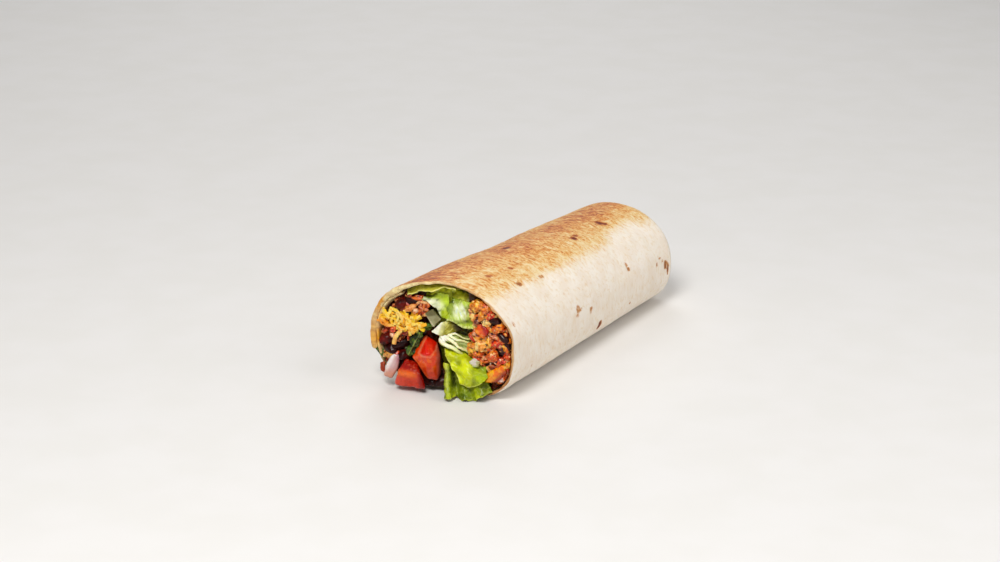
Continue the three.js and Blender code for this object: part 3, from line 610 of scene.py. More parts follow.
# Each moist food: roughness, wetness, speckle, grain, relief, how far light sinks in (its share
# and its reach) and shine.
FOODS = {
    "tomato_flesh": (0.2, 0.42, 0.22, 600, 0.1, 0.12, 1.5, 0.28),
    "onion_flesh": (0.24, 0.35, 0.08, 500, 0.05, 0.4, 3, 0.28),
    "pepper_skin": (0.2, 0.55, 0.2, 500, 0.12, 0.12, 1.5, 0.28),
    "green_flesh": (0.38, 0.2, 0.16, 600, 0.1, 0.15, 1.5, 0.28),
    "shred_flesh": (0.3, 0.25, 0.06, 700, 0.08, 0.3, 1.5, 0.28),
    "cheese_shred": (0.34, 0.1, 0.08, 500, 0.06, 0.2, 1.5, 0.28),
    "bean_sauce": (0.26, 0.28, 0.35, 500, 0.3, 0.05, 1.5, 0.16),
    "bean_skin": (0.36, 0.14, 0.4, 500, 0.25, 0.05, 1.5, 0.14),
    "rice_grain": (0.26, 0.45, 0.2, 700, 0.12, 0.15, 1.5, 0.28),
    "meat_sauce": (0.24, 0.34, 0.35, 500, 0.25, 0.1, 1.5, 0.16),
    "meat_lump": (0.22, 0.7, 0.3, 900, 0.4, 0.1, 1.5, 0.2),
    "spiced_rice": (0.22, 0.5, 0.2, 700, 0.1, 0.15, 1.5, 0.28),
    "black_bean_skin": (0.3, 0.26, 0.4, 500, 0.35, 0.05, 1.5, 0.14),
}


def skin_of_food(name):
    """Moist food coloured by its tint, with fine variation of colour, gloss and relief."""
    matt, wet, speckle, grain, relief, soft, soft_reach, shine = FOODS[name]
    shader = Shader(
        name,
        Subsurface_Weight=soft,
        Subsurface_Scale=soft_reach * MM,
        Subsurface_Radius=(1.0, 0.45, 0.2),
        Specular_IOR_Level=shine,
        Coat_Weight=wet,
        Coat_Roughness=0.09,
    )
    place = shader.place()
    fine = shader.noise(place, grain, 4.0, 0.6)
    broad = shader.noise(place, grain / 4, 2.0)
    colour = shader.colour_attribute("tint")
    dark = shader.range(fine, 0.35, 0.7, 0.0, speckle)
    colour = shader.mix(dark, colour, (70, 20, 8), "MULTIPLY")
    light = shader.range(broad, 0.5, 0.75, 0.0, speckle)
    colour = shader.mix(light, colour, (255, 235, 200), "SOFT_LIGHT")
    roughness = shader.range(broad, 0.3, 0.7, matt * 0.7, matt * 1.4)
    return shader.finish(colour, roughness, shader.bump(fine, relief))


# ---------------------------------------------------------------------------------------------
# The tortilla

TOAST_LOW = 48.0  # the angle, in degrees, at which the toasting starts

# Browned spots, as (along, angle, half length along, half width around, strength).
SPOTS = [
    (62.5, 95.5, 3.6, 1.8, 1.0), (98.4, 69.0, 2.5, 2.2, 1.0), (102.2, 72.0, 2.4, 1.6, 0.75),
    (129.0, 75.5, 3.4, 2.2, 0.9), (131.5, 71.0, 2.0, 2.2, 0.8), (31.0, 51.0, 2.2, 1.6, 0.7),
    (49.0, 48.5, 2.0, 1.3, 0.5), (39.5, 68.0, 2.8, 1.5, 0.6), (22.0, 70.5, 2.2, 1.2, 0.5),
    (116.3, 21.5, 1.7, 2.9, 0.5), (117.2, 16.5, 2.0, 1.7, 0.6), (62.0, 4.0, 2.4, 2.8, 0.48),
    (65.0, 2.8, 1.8, 1.2, 0.35), (75.4, -1.4, 1.8, 1.0, 0.7), (71.0, 20.0, 0.8, 1.3, 0.25),
    (5.5, 22.0, 1.3, 2.2, 0.3), (87.4, -25.0, 2.0, 3.6, 1.0), (118.5, -17.0, 1.5, 1.0, 0.5),
    (19.0, -20.5, 1.0, 1.6, 0.4), (146.7, 4.5, 0.9, 1.8, 0.7), (150.5, 10.0, 2.0, 1.3, 0.5),
    (153.0, 5.0, 1.8, 2.6, 0.55), (157.2, 0.5, 2.4, 1.9, 0.75), (159.2, -2.6, 1.4, 3.0, 1.0),
    (30.0, 158.0, 1.6, 1.2, 0.6), (58.0, 171.0, 1.2, 0.9, 0.4), (84.0, 163.0, 2.2, 1.4, 0.85),
    (90.5, 160.0, 1.0, 1.3, 0.5), (112.0, 174.0, 1.4, 1.6, 0.55), (138.0, 161.0, 1.8, 1.0, 0.7),
    (150.0, 170.0, 1.2, 1.8, 0.9), (70.0, 118.0, 2.2, 1.4, 0.8), (121.0, 130.0, 1.8, 1.3, 0.7),
]

# The colour of the toasting as it grows, from straw yellow to russet.
TOAST_COLOURS = [
    (0.0, (236, 211, 163)),
    (0.2, (230, 196, 138)),
    (0.34, (227, 177, 106)),
    (0.47, (216, 149, 74)),
    (0.6, (203, 120, 50)),
    (0.76, (174, 84, 30)),
    (0.96, (132, 56, 22)),
]


def toast_share(degrees, along, place):
    """How toasted the sheet is: 0 is pale dough, about 0.45 straw yellow, 1 a deep russet."""
    ragged = 1.6 * noise(place, 11, 3) + 1.2 * noise(place, 4, 4)
    low = TOAST_LOW + 11 * rise(along, 110, 130) - 9 * rise(along, 147, 150) + ragged
    start = rise(degrees, low - 12, low + 16)
    stop = fall(degrees, 134 + 4 * ragged, 166 + 4 * ragged)
    end = fall(along, 163 + ragged, 169 + ragged)
    level = 0.34 + 0.18 * rise(degrees, 58, 76) + 0.2 * rise(degrees, 74, 90)
    level = level + 0.20 * fall(along, 4, 66) * rise(degrees, 78, 98)
    level = level + 0.08 * bump(along, 128, 30) * bump(degrees, 95, 11)
    level = level - 0.1 * bump(along, 150, 14)
    paler = rise(rough(place, 26, 6), 0.05, 0.5)
    level = level - 0.14 * paler * rise(degrees, 60, 80)
    level = level - 0.36 * rise(degrees, 104, 136)
    folded = 0.34 * rise(along, 168, 176) * rise(rough(place, 13, 8), -0.1, 0.5)
    return np.maximum(start * stop * end * level, folded)


def browned_spots(degrees, along, place):
    """How browned the sheet is by its spots."""
    total = np.zeros(np.shape(along))
    ragged = 0.5 * noise(place, 2.6, 11)
    for spot_along, spot_angle, half_long, half_wide, strength in SPOTS:
        across = (degrees - spot_angle) * DEGREE_ROUND
        shape = ((along - spot_along) / half_long) ** 2 + (across / half_wide) ** 2
        spot = fall(np.sqrt(shape) + ragged, 0.45, 1.15)
        total = np.maximum(total, strength * spot)
    return total


def sheet_rows():
    """The sheet's rows, from the shut end inside, round the rim and back to the end outside.

    Gives each row's depth, its face from -1 inside to 1 outside, the angle by which it lies
    over the rounded end, and 1 where it belongs to the inner surface.
    """
    half, wall = SHEET / 2, STRAIGHT - FOLD_WALL
    inner_depths = (*np.linspace(wall, 40, 8), *np.geomspace(30, half, 16))
    rows = [(wall, -1, arc, 1) for arc in np.linspace(QUARTER, 0, 10)[:-1]]
    rows += [(depth, -1, 0, 1) for depth in inner_depths]
    for swing in np.linspace(-QUARTER, QUARTER, 11)[1:]:
        rows.append((half * (1 - math.cos(swing)), math.sin(swing), 0, 0))
    rows += [(depth, 1, 0, 0) for depth in np.linspace(half + 0.7, STRAIGHT, 196)]
    rows += [(STRAIGHT, 1, arc, 0) for arc in np.linspace(0, QUARTER, 46)[1:]]
    return np.array(rows, float).T[..., None]


def tortilla_shape():
    """One sheet rolled a little more than once round, from its inner edge to the flap's edge."""
    columns = 268
    half = SHEET / 2
    lap_recess = 0.9
    depth, face, arc, inside = sheet_rows()
    straight = np.clip(depth / (STRAIGHT - FOLD_WALL * inside), 0, 1)
    along = straight * LENGTH
    seam = SEAM + SEAM_DRIFT * straight
    angle = lerp(INNER_EDGE, seam + TURN, np.linspace(0, 1, columns)[None, :])
    under = fall(angle - seam, 0, SEAM_FADE)
    edge = np.minimum(angle - INNER_EDGE, seam + TURN - angle) * SKIN_RADIUS

    flap = rise(angle, math.radians(445), math.radians(480))
    slender = 1 - flap * (1 - under)
    slender = slender * fall(depth, 1.0, 7.0) * (1 - under)
    thickest = half * (1 - 0.42 * slender)
    thick = thickest * rounded(edge / half)
    left_rim = rise(angle, math.radians(462), math.radians(492))
    left_rim = left_rim * fall(depth, 1.2, 2.6)
    swollen = left_rim * (1 - face) / 2
    sink = under * (SHEET + LAP_GAP) + dent(angle, along) * np.where(inside > 0, 0.4, 1)
    inset = sink + thickest - thick * face + swollen
    fold = (fold_depth(angle, arc) + pleats(angle, arc)) * (1 - inside)

    ragged = points(angle * SKIN_RADIUS, 1.7 * face + 0.4 * np.minimum(depth, 6), 0)
    curl = 0.35 * noise(ragged, 9, 24) + 0.24 * noise(ragged, 3.1, 25)
    curl = (np.abs(curl) + 0.5 * curl) * fall(depth, 0.5, 5)
    inset = inset + curl * np.where(inside > 0, 0.6, 1)
    start = rim_depth(angle) + lap_recess * under
    start = start + 0.5 * noise(ragged, 6.5, 21) + 0.25 * noise(ragged, 2.2, 22)
    end = LENGTH / 2 - FOLD_WALL * inside
    place = skin_point(angle, straight, arc, inset, fold, start, end)
    travelled = depth + arc * END_RADIUS
    free = rise(edge, 0.0, 0.6) * fall(arc, 1.45, QUARTER - 0.01)
    spread = (np.broadcast_to(value, angle.shape) for value in (travelled, depth, face))
    return place, angle, free, *spread


def sheet_edges(rows, columns, rim):
    """Faces that close the sheet's two side edges, from its inner to its outer surface.

    Each goes from the rim's row to both ends of the column, and takes the nearer row next.
    """
    strip = []
    inner, outer = rim, rim
    while inner > 0 or outer < rows - 1:
        share = (rim - inner) / rim, (outer - rim) / (rows - 1 - rim)
        if inner > 0 and share[0] <= share[1]:
            strip.append((inner - 1, inner, outer, outer))
            inner -= 1
        else:
            strip.append((outer, outer + 1, inner, inner))
            outer += 1
    first = np.array(strip) * columns
    return np.concatenate([first, (first + columns - 1)[:, [1, 0, 2, 3]]])


def make_tortilla():
    place, angle, free, travelled, depth, face = tortilla_shape()
    x, height = place[..., 0], place[..., 2]
    degrees = np.degrees(np.mod(angle + math.pi, TURN) - math.pi)
    outer = rise(face, -0.5, 0.5) * rise(depth, 0.1, 0.9)
    toast = toast_share(degrees, travelled, place) * outer
    spots = browned_spots(degrees, travelled, place) * outer

    near_rim = fall(depth, 2.5, 6.0)
    left = rise(-x, 17, 25)
    scorched = rise(rough(place, 6, 23), -0.05, 0.35)
    patch = bump(height, 41, 4.5) * left
    # Low on the right of the rim, where its colour is painted darker as painted shade.
    shaded = near_rim * rise(x, 22, 29) * fall(height, 10, 20)
    leftmost = rise(-x, 27, 31) * bump(height, 23, 7) * (0.65 + 0.35 * scorched)
    golden = near_rim * np.clip(np.maximum(patch * scorched * 0.7, 1.3 * leftmost), 0, 1)
    # The rim's colour: the darker tan towards the right and the darker brown low on the right
    # (shaded) are painted shade.
    crumb = painted(
        (238, 222, 166),
        ((206, 160, 104), rise(x, -8, 16)),
        ((206, 150, 74), 0.8 * near_rim * left * scorched * (0.4 + patch)),
        ((222, 200, 138), 1 - near_rim),
        ((168, 112, 62), 0.9 * shaded),
    )

    normal = grid_normals(place)
    outward = place - np.array([0, 0, MOUTH_HEIGHT / 2])
    facing = np.sign((normal * outward).sum(-1).mean())
    wrinkles = rough(place * np.array([1, 2.2, 1]), 3, 32) * (0.5 + toast)
    crumple = 0.16 * rough(place, 9, 31) + 0.07 * wrinkles - 0.22 * spots
    crumple = np.minimum(crumple * rise(height, 0.4, 5), 0.25) * outer * free
    place = place + facing * normal * crumple[..., None]
    layered = points(angle * 12, 2.6 * face + 1.4 * np.minimum(depth, 8), 0)
    knobs = 0.2 * rough(place, 2.6, 35) + 0.3 * rough(layered, 2.4, 36)
    knobs = knobs * near_rim * (1 - outer) * free
    place = place + (facing * knobs)[..., None] * normal
    place[..., 2] = np.maximum(place[..., 2], 0)

    rim = int(np.argmin(np.abs(face[:, 0])))
    faces = np.concatenate([grid_faces(*angle.shape), sheet_edges(*angle.shape, rim)])
    layers = {
        "toast": toast,
        "spots": spots,
        "surface": points(angle * SKIN_RADIUS, travelled, 0),
        "outer": outer,
        "golden": golden,
        "crumb": crumb,
    }
    flat = [value.reshape(-1, *value.shape[2:]) for value in layers.values()]
    (place, faces), *flat = welded(place.reshape(-1, 3), faces, flat)
    if facing < 0:
        faces = np.where(faces[:, 3:] < 0, faces[:, [2, 1, 0, 3]], faces[:, ::-1])
    values = dict(zip(layers, flat))
    look = tortilla_material()
    add_piece("tortilla_sheet", (place, faces), look, "tortilla", "tortilla", **values)


def tortilla_material():
    shader = Shader(
        "tortilla_dough",
        Subsurface_Weight=0.1,
        Subsurface_Scale=2 * MM,
        Subsurface_Radius=(1.0, 0.6, 0.35),
        Specular_IOR_Level=0.25,
        Sheen_Weight=0.05,
        Sheen_Roughness=0.5,
    )
    surface = shader.colour_attribute("surface")
    toast, outer, golden, marks = map(shader.attribute, ("toast", "outer", "golden", "spots"))
    bent = shader.bent(surface, shader.noise(surface, 0.12, 2.0), 5, 5, 0)
    slant = shader.node("VectorRotate", rotation_type="Z_AXIS", Vector=bent, Angle=0.35)

    def slanting(across, along, *settings):
        """Noise drawn out at a slant to the roll."""
        return shader.noise(shader.stretch(slant, across, along, 1), 1.0, *settings)

    streaks = slanting(0.17, 0.36, 4.0, 0.58, 0.3)
    mottle = slanting(0.4, 0.56, 4.0, 0.6, 0.2)
    fibres = slanting(0.62, 0.95, 3.0, 0.55, 0.9)
    broad = shader.noise(surface, 0.07, 2.0)
    cloud = shader.noise(surface, 0.11, 4.0, 0.6)
    speck = shader.noise(surface, 1.6, 3.0, 0.7)
    ragged = shader.noise(surface, 0.9, 4.0, 0.65)

    dough = shader.mix(shader.range(cloud, 0.35, 0.65), (240, 226, 209), (246, 236, 223))
    dough = shader.mix(shader.range(mottle, 0.5, 0.72, 0.0, 0.5), dough, (230, 212, 186))
    dough = shader.mix(shader.range(speck, 0.62, 0.76, 0.0, 0.4), dough, (208, 184, 152))

    heat = shader.scaled(shader.centred(streaks), 0.95, toast)
    for grain, amount in ((broad, 0.35), (mottle, 0.85)):
        heat = shader.math("ADD", heat, shader.times(shader.centred(grain), amount))
    heat = shader.math("ADD", heat, shader.range(fibres, 0.32, 0.68, -0.27, 0.27))
    pores = shader.range(speck, 0.6, 0.72, 0.0, 0.22)
    pores = shader.times(pores, shader.range(toast, 0.05, 0.4))
    heat = shader.math("ADD", heat, pores)
    pale = shader.range(slanting(0.11, 0.2, 3.0, 0.6), 0.54, 0.66, 0.0, 0.3)
    heat = shader.math("SUBTRACT", heat, pale)
    toasting = shader.node("ValToRGB", i0=shader.times(heat, 0.8))
    stops = toasting.node.color_ramp.elements
    while len(stops) < len(TOAST_COLOURS):
        stops.new(0.5)
    for stop, (position, colour) in zip(stops, TOAST_COLOURS):
        stop.position = position
        stop.color = (*rgb(*colour), 1)

    edge = shader.scaled(shader.centred(mottle), 0.45, toast)
    colour = shader.mix(shader.range(edge, -0.03, 0.27), dough, toasting)
    ragged = shader.times(shader.centred(ragged), 1.1)
    spots = shader.scaled(ragged, shader.range(marks, 0.02, 0.3), marks)
    halo = shader.mix(shader.range(toast, 0.05, 0.5), (198, 138, 78), (180, 94, 38))
    colour = shader.mix(shader.range(spots, 0.1, 0.5), colour, halo)
    colour = shader.mix(shader.range(spots, 0.45, 0.95), colour, (112, 40, 16))
    baked = shader.range(mottle, 0.4, 0.65, 0.4, 0.0)
    crumb = shader.mix(baked, shader.colour_attribute("crumb"), (172, 112, 58))
    colour = shader.mix(outer, crumb, colour)
    scorch = shader.mix(shader.range(mottle, 0.4, 0.62), (192, 118, 16), (226, 160, 36))
    colour = shader.mix(golden, colour, scorch)

    fine = shader.noise(surface, 2.2, 3.0, 0.6)
    height = shader.times(streaks, shader.range(toast, 0.05, 0.5, 0.05, 1.0))
    height = shader.scaled(fine, 0.12, height)
    height = shader.math("SUBTRACT", height, shader.times(spots, 0.4))
    roughness = shader.range(toast, 0.0, 0.9, 0.75, 0.5)
    return shader.finish(colour, roughness, shader.bump(height, 0.6, 0.8))


# ---------------------------------------------------------------------------------------------
# Leaves


def leaf_shape(sheet, thickness, steps, crinkle, size, jag, seed):
    """A thin leaf about sheet(u, v), crinkled and with a ragged edge.

    Gives its shape, and at each point u, v and how far the crinkles lift it.
    """
    u, v = grid_shares(*steps)
    middle = sheet(u, v)
    step_u, step_v = np.gradient(middle, axis=0), np.gradient(middle, axis=1)
    width = np.linalg.norm(step_u, axis=-1).sum(0).mean()
    height = np.linalg.norm(step_v, axis=-1).sum(1).mean()
    edge = np.minimum(np.minimum(u, 1 - u) * width, np.minimum(v, 1 - v) * height)
    near_edge = np.exp(-edge / 1.6)[..., None]
    ragged = jag * near_edge * warp_of(middle, 2.4, seed + 5, 2)
    middle = middle + ragged[..., :1] * unit(step_u) + ragged[..., 1:] * unit(step_v)
    normal = unit(np.cross(step_v, step_u))
    crease = np.abs(rough(middle, 0.9 * size, seed + 3)) - 0.3
    wave = (rough(middle, size, seed) + 0.9 * crease) * crinkle * (1 + 1.2 * near_edge[..., 0])
    middle = middle + normal * wave[..., None]
    middle[..., 2] = np.maximum(middle[..., 2], thickness / 2 + 0.15)
    normal = grid_normals(middle)
    half = thickness / 2
    half = (half * rounded(edge / half))[..., None]
    front = (middle + normal * half).reshape(-1, 3)
    back = (middle - normal * half).reshape(-1, 3)
    # A corner cell is cut from its corner inwards, so that front and back share no edge in it.
    faces = grid_faces(*steps)
    corners = [0, steps[1] - 2, len(faces) - 1, len(faces) - steps[1] + 1]
    turned_cells = [np.roll(faces[cell], -turn) for turn, cell in enumerate(corners)]
    halves = [cell[order] for cell in turned_cells for order in ([0, 1, 2, 2], [0, 2, 3, 3])]
    faces = np.concatenate([np.delete(faces, corners, axis=0), halves])
    shape = merge([(front, faces), (back, faces[:, ::-1])])
    return welded(*shape, [np.tile(value.ravel(), 2) for value in (u, v, wave)])


def leaf_material(name, vein=0.5, matt=0.3, wet=0.16):
    shader = Shader(
        name,
        Subsurface_Weight=0.2,
        Subsurface_Scale=1.2 * MM,
        Subsurface_Radius=(0.8, 1.0, 0.1),
        Specular_IOR_Level=0.22,
        Coat_Weight=wet,
        Coat_Roughness=0.12,
    )
    place = shader.place()
    bent = shader.bent(place, shader.noise(place, 220, 2.0), 0.006, 0.006, 0.006)
    large = shader.veins(bent, 230, 0.1)
    small = shader.veins(bent, 800, 0.12)
    patch = shader.noise(place, 240, 3.0)
    colour = shader.colour_attribute("tint")
    green = shader.range(patch, 0.4, 0.7, 0.0, 0.35)
    colour = shader.mix(green, colour, (110, 140, 10), "MULTIPLY")
    colour = shader.mix(shader.times(large, vein * 0.35), colour, (222, 232, 110))
    colour = shader.mix(shader.times(small, vein * 0.12), colour, (214, 226, 90))
    height = shader.scaled(patch, 0.7, shader.times(large, -0.25))
    height = shader.scaled(small, -0.06, height)
    roughness = shader.range(patch, 0.3, 0.7, matt * 0.7, matt * 1.3)
    return shader.finish(colour, roughness, shader.bump(height, 0.3, 0.6))


# The middle of each leaf, for u and v from 0 to 1.


def top_leaf(u, v):
    across = lerp(-8, 16.4, u)
    crown = 52 - 2.6 * (1.7 * u - 0.75) ** 2
    hem = lerp(46.6, 45.2, u) + 0.7 * np.sin(9 * u)
    return shown_at(across, lerp(crown, hem, v), lerp(9, 6, v) + 0.8 * np.sin(11 * u + 2 * v))


def under_rim_leaf(u, v):
    angle = lerp(math.radians(123), math.radians(76), u)
    depth = lerp(1, 26, v)
    wave = 0.35 * np.sin(14 * u + 5 * v)
    droop = 2.6 * fall(v, 0, 0.14) * fall(u, 0.5, 0.95)
    x, z, _ = section_point(angle, depth / LENGTH, SHEET + 1.4 + wave + droop)
    return in_mouth(x, z, depth + 0.8 * np.sin(9 * u))


def upper_left_leaf(u, v):
    top = 46 + 3.2 * rise(u, 0, 0.8)
    bottom = 45.2 - 3.6 * rise(u, 0, 0.55) - 5 * rise(u, 0.5, 0.75)
    depth = 2.4 + 2 * u + 2.2 * (1 - v) ** 2 + 0.6 * np.sin(9 * u + 3 * v)
    return shown_at(lerp(-8.4, 5, u), lerp(top, bottom, v), depth)


def upper_right_leaf(u, v):
    left = lerp(6.4, 3.6, rise(v, 0, 0.5))
    right = lerp(15.4, 16, v)
    top = lerp(47.4, 45.8, u)
    bottom = lerp(36.2, 33.4, rise(u, 0, 0.8))
    rib = 1.2 * np.sin(5.6 * u + 0.8 + 2.4 * v) + 0.4 * np.sin(13 * v + 4 * u)
    return shown_at(lerp(left, right, u), lerp(top, bottom, v), 3.6 - 3 * v + rib)


def tongue_leaf(u, v):
    left = 1.6 + 6.6 * rise(v, 0.15, 0.95)
    right = 21.4 - 2.6 * rise(v, 0.6, 1)
    top = 22.6 - u - 5.2 * rise(u, 0.4, 0.8)
    hem = 5.8 - 1.8 * np.sin(math.pi * u) + 2.4 * u
    belly = 2.6 * np.sin(math.pi * v) * np.sin(2.6 * u + 0.3)
    crinkle = 0.5 * np.sin(9 * u + 5 * v) + 0.35 * np.sin(16 * v - 6 * u)
    depth = lerp(2.6, -4.6, v) - belly - crinkle
    return shown_at(lerp(left, right, u), lerp(top, hem, v), depth)


def spill_leaf(u, v):
    left = lerp(1, 0.4, v)
    right = lerp(20.5, 23.6, v)
    top = 15.6 - 5 * u
    hem = -2 + 1.7 * bump(u, 0.22, 0.07) + 6 * rise(u, 0.55, 1) + 0.4 * np.sin(19 * u)
    lean = lerp(1.4, lerp(-6.6, -3, u * u), v)
    fold = 2.2 * bump(u, 0.08, 0.1) - 2.4 * bump(u, 0.26, 0.09)
    ruffle = 0.9 * v * np.sin(17 * u + 1)
    place = shown_at(lerp(left, right, u), lerp(top, hem, v), lean - fold - ruffle)
    place[..., 2] = np.maximum(place[..., 2], LEAF_REST)
    return place


def taper(share, power):
    """Half the width of a leaf with a point at either end, at a share of its length."""
    return np.sqrt(np.clip(1 - np.abs(2 * share - 1) ** power, 0, 1))


def rim_herb(u, v):
    across = lerp(-32.2, -28, v) + lerp(-0.8, 0.8, u) * taper(v, 2)
    return shown_at(across + 1.6 * u, lerp(19, 12.8, v) + 1.8 * u, 1 + 1.2 * u)


def cilantro_leaf(u, v):
    spread = (u - 0.5) * (1.2 + 3.6 * taper(v, 3) + 0.9 * np.sin(16 * v))
    across = lerp(-9.6, -16.2, v) + spread * 0.8
    up = lerp(28.8, 17, v) - spread * 0.5
    return shown_at(across, up, 1.5 - 2 * v + 0.7 * np.cos(6 * u) + 0.4 * np.sin(13 * v))


def cilantro_bit(u, v):
    spread = (u - 0.5) * (1 + 2.4 * taper(v, 2))
    depth = 3.4 + 0.6 * np.cos(5 * u) + 0.4 * np.sin(9 * v)
    return shown_at(lerp(-9.6, -3.6, v), lerp(30.6, 32.6, v) + spread, depth)


# The tint of each leaf, from u and v, how far the crinkles lift it, and where it shows.

# The green of painted shade: in the leaves' hollows and folds, in a small hole, and deep under
# the rim.
PAINTED_SHADE_GREEN = (58, 74, 4)
RIB_WHITE = (250, 255, 222)


def top_tint(u, v, wave, across, up):
    return painted(
        (222, 228, 44),
        # Lighter on the crinkles' crests, darker in their hollows, and darker on the right under
        # the rim: painted light and shade.
        ((240, 244, 90), rise(wave, -0.1, 0.6)),
        ((120, 116, 12), 0.6 * rise(-wave, 0.0, 0.6)),
        ((112, 92, 14), rise(across, 10, 17)),
    )


def under_rim_tint(u, v, wave, across, up):
    return painted(
        (196, 188, 60),
        # Darker the deeper it runs under the rim: painted shade.
        ((150, 146, 26), rise(v, 0.03, 0.1)),
        ((236, 230, 130), fall(v, 0.008, 0.03)),
        (PAINTED_SHADE_GREEN, 0.8 * rise(v, 0.12, 0.5)),
    )


def upper_left_tint(u, v, wave, across, up):
    white = rise(v, 0.2, 0.55) * fall(across, 0, 4) * rise(across, -9, -6)
    return painted(
        (208, 232, 60),
        (RIB_WHITE, 0.95 * white),
        ((178, 196, 20), rise(across, -1, 1.5) * fall(up, 40, 42.5)),
        ((196, 196, 120), 0.7 * fall(across, -9.5, -7)),
        # Painted shade in the crinkles' hollows.
        (PAINTED_SHADE_GREEN, 0.6 * rise(-wave, 0.2, 0.7)),
    )


def upper_right_tint(u, v, wave, across, up):
    rib = blot(across, up, (9.8, 41.2), (3.6, 3.6))
    drawn = points((across + 0.3 * up) * 0.9, (up - 0.3 * across) * 0.3, 0)
    vein = rough(drawn, 1.0, 92, 2)
    return painted(
        (178, 204, 26),
        ((206, 226, 96), rise(vein, 0.05, 0.6) * (1 - rib)),
        (RIB_WHITE, rib * (1.2 + 1.2 * vein)),
        # A bluish-white painted highlight on the rib.
        ((226, 246, 242), rise(rib, 0.5, 0.9) * rise(vein, -0.1, 0.4)),
        # Painted shade in the fold between the leaves and in a small hole.
        (PAINTED_SHADE_GREEN, bump(across, 6.3, 1.2) * rise(up, 43.4, 45.2)),
        (PAINTED_SHADE_GREEN, 0.8 * blot(across, up, (13, 37), (1.5, 0.8))),
        ((228, 232, 160), 0.7 * rise(v, 0.86, 0.98)),
        # Painted shade in the crinkles' hollows.
        ((126, 146, 6), 0.8 * rise(-wave, 0.2, 0.7) * (1 - rib)),
    )


def tongue_tint(u, v, wave, across, up):
    return painted(
        (196, 206, 0),
        # Lighter on the crinkles' crests and darker in their hollows: painted light and shade.
        ((218, 228, 18), rise(wave, 0.0, 0.6)),
        ((136, 146, 2), 0.8 * rise(-wave, 0.1, 0.6)),
        ((150, 178, 30), 0.7 * rise(across, 13, 18)),
        ((208, 214, 0), 0.75 * rise(up, 16, 19.5)),
        ((232, 230, 120), 0.7 * np.maximum(fall(u, 0, 0.05), rise(v, 0.94, 1))),
    )


def spill_tint(u, v, wave, across, up):
    # A dark hollow, where the colour is painted shade.
    hollow = bump(across, 5.3, 1.5) * rise(up, 3, 6) * fall(up, 13, 17)
    return painted(
        (132, 148, 2),
        # Lighter on the crinkles' crests, with painted shade in the dark hollow and in the
        # crinkles' hollows.
        ((184, 196, 12), rise(wave, 0.05, 0.6)),
        ((40, 50, 4), hollow),
        ((208, 212, 90), 0.8 * bump(across, 1.9, 0.7) * rise(up, 2, 5)),
        ((96, 124, 4), 0.7 * blot(across, up, (10, 1), (3, 2.4))),
        (PAINTED_SHADE_GREEN, 0.5 * rise(-wave, 0.2, 0.7)),
        ((200, 206, 60), 0.5 * rise(v, 0.96, 1.0)),
    )


def herb_tint(u, v, wave, across, up):
    return painted(
        (40, 82, 16),
        # Darker in the crinkles' hollows and lighter on their crests: painted shade and light.
        ((16, 38, 10), rise(-wave, -0.15, 0.4)),
        ((150, 160, 70), 0.8 * bump(u, 0.55, 0.05)),
        ((84, 124, 34), 0.6 * rise(wave, 0.2, 0.7)),
        ((104, 146, 36), 0.7 * blot(across, up, (-8.2, 30.8), (2.6, 1.8))),
    )


def rim_herb_tint(u, v, wave, across, up):
    base = herb_tint(u, v, wave, across, up)
    return painted(base, ((200, 196, 150), rise(u, 0.8, 0.95)))


# Each leaf: its node, sheet, tint, thickness, steps, crinkle, crinkle size, ragged edge.
LETTUCE = [
    ("lettuce_top", top_leaf, top_tint, 0.7, (110, 50), 0.4, 4.6, 0.4),
    ("lettuce_under_rim", under_rim_leaf, under_rim_tint, 0.6, (110, 90), 0.25, 4.0, 0.5),
    ("lettuce_upper_left", upper_left_leaf, upper_left_tint, 0.6, (110, 70), 0.5, 4.6, 0.6),
    ("lettuce_upper_right", upper_right_leaf, upper_right_tint, 0.6, (110, 100), 0.75, 3.8, 0.6),
    ("lettuce_tongue", tongue_leaf, tongue_tint, 0.6, (140, 140), 0.6, 6.5, 0.6),
    ("lettuce_spill", spill_leaf, spill_tint, 0.6, (150, 110), 0.55, 5.5, 0.7),
]
HERBS = [
    ("rim_leaf", rim_herb, rim_herb_tint, 0.5, (30, 60), 0.2, 1.6, 0.5),
    ("cilantro_leaf", cilantro_leaf, herb_tint, 0.4, (60, 120), 0.45, 2.2, 0.7),
    ("cilantro_bit", cilantro_bit, herb_tint, 0.4, (40, 70), 0.3, 1.8, 0.5),
]


def make_leaves():
    lettuce = leaf_material("lettuce_leaf")
    herb = leaf_material("herb_leaf", vein=0.25, matt=0.38, wet=0.25)
    seed = 2
    for slot, look, leaves in (("lettuce", lettuce, LETTUCE), ("herb", herb, HERBS)):
        for name, sheet, tint, thickness, steps, crinkle, size, jag in leaves:
            made = leaf_shape(sheet, thickness, steps, crinkle, size, jag, seed)
            shape, u, v, wave = made
            colour = tint(u, v, wave / crinkle, *seen_from_front(shape[0]))
            add_piece(name + "_piece", shape, look, slot, name, tint=colour)
            seed += 7


# ---------------------------------------------------------------------------------------------
# Cut vegetables


def slab(face, thickness):
    """The corners of a piece as thick as given behind a face."""
    return face + [(across, up, depth + thickness) for across, up, depth in face]


# The tint of each cut piece, from where it shows and its place in space.

# The part of the large tomato's face that is deep red, as (across, up).
TOMATO_RED_PART = [
    (-10.4, 18.4), (-8.4, 17.3), (-5.6, 17.4), (-3.2, 21), (-2, 25.4), (-5, 29.5),
]


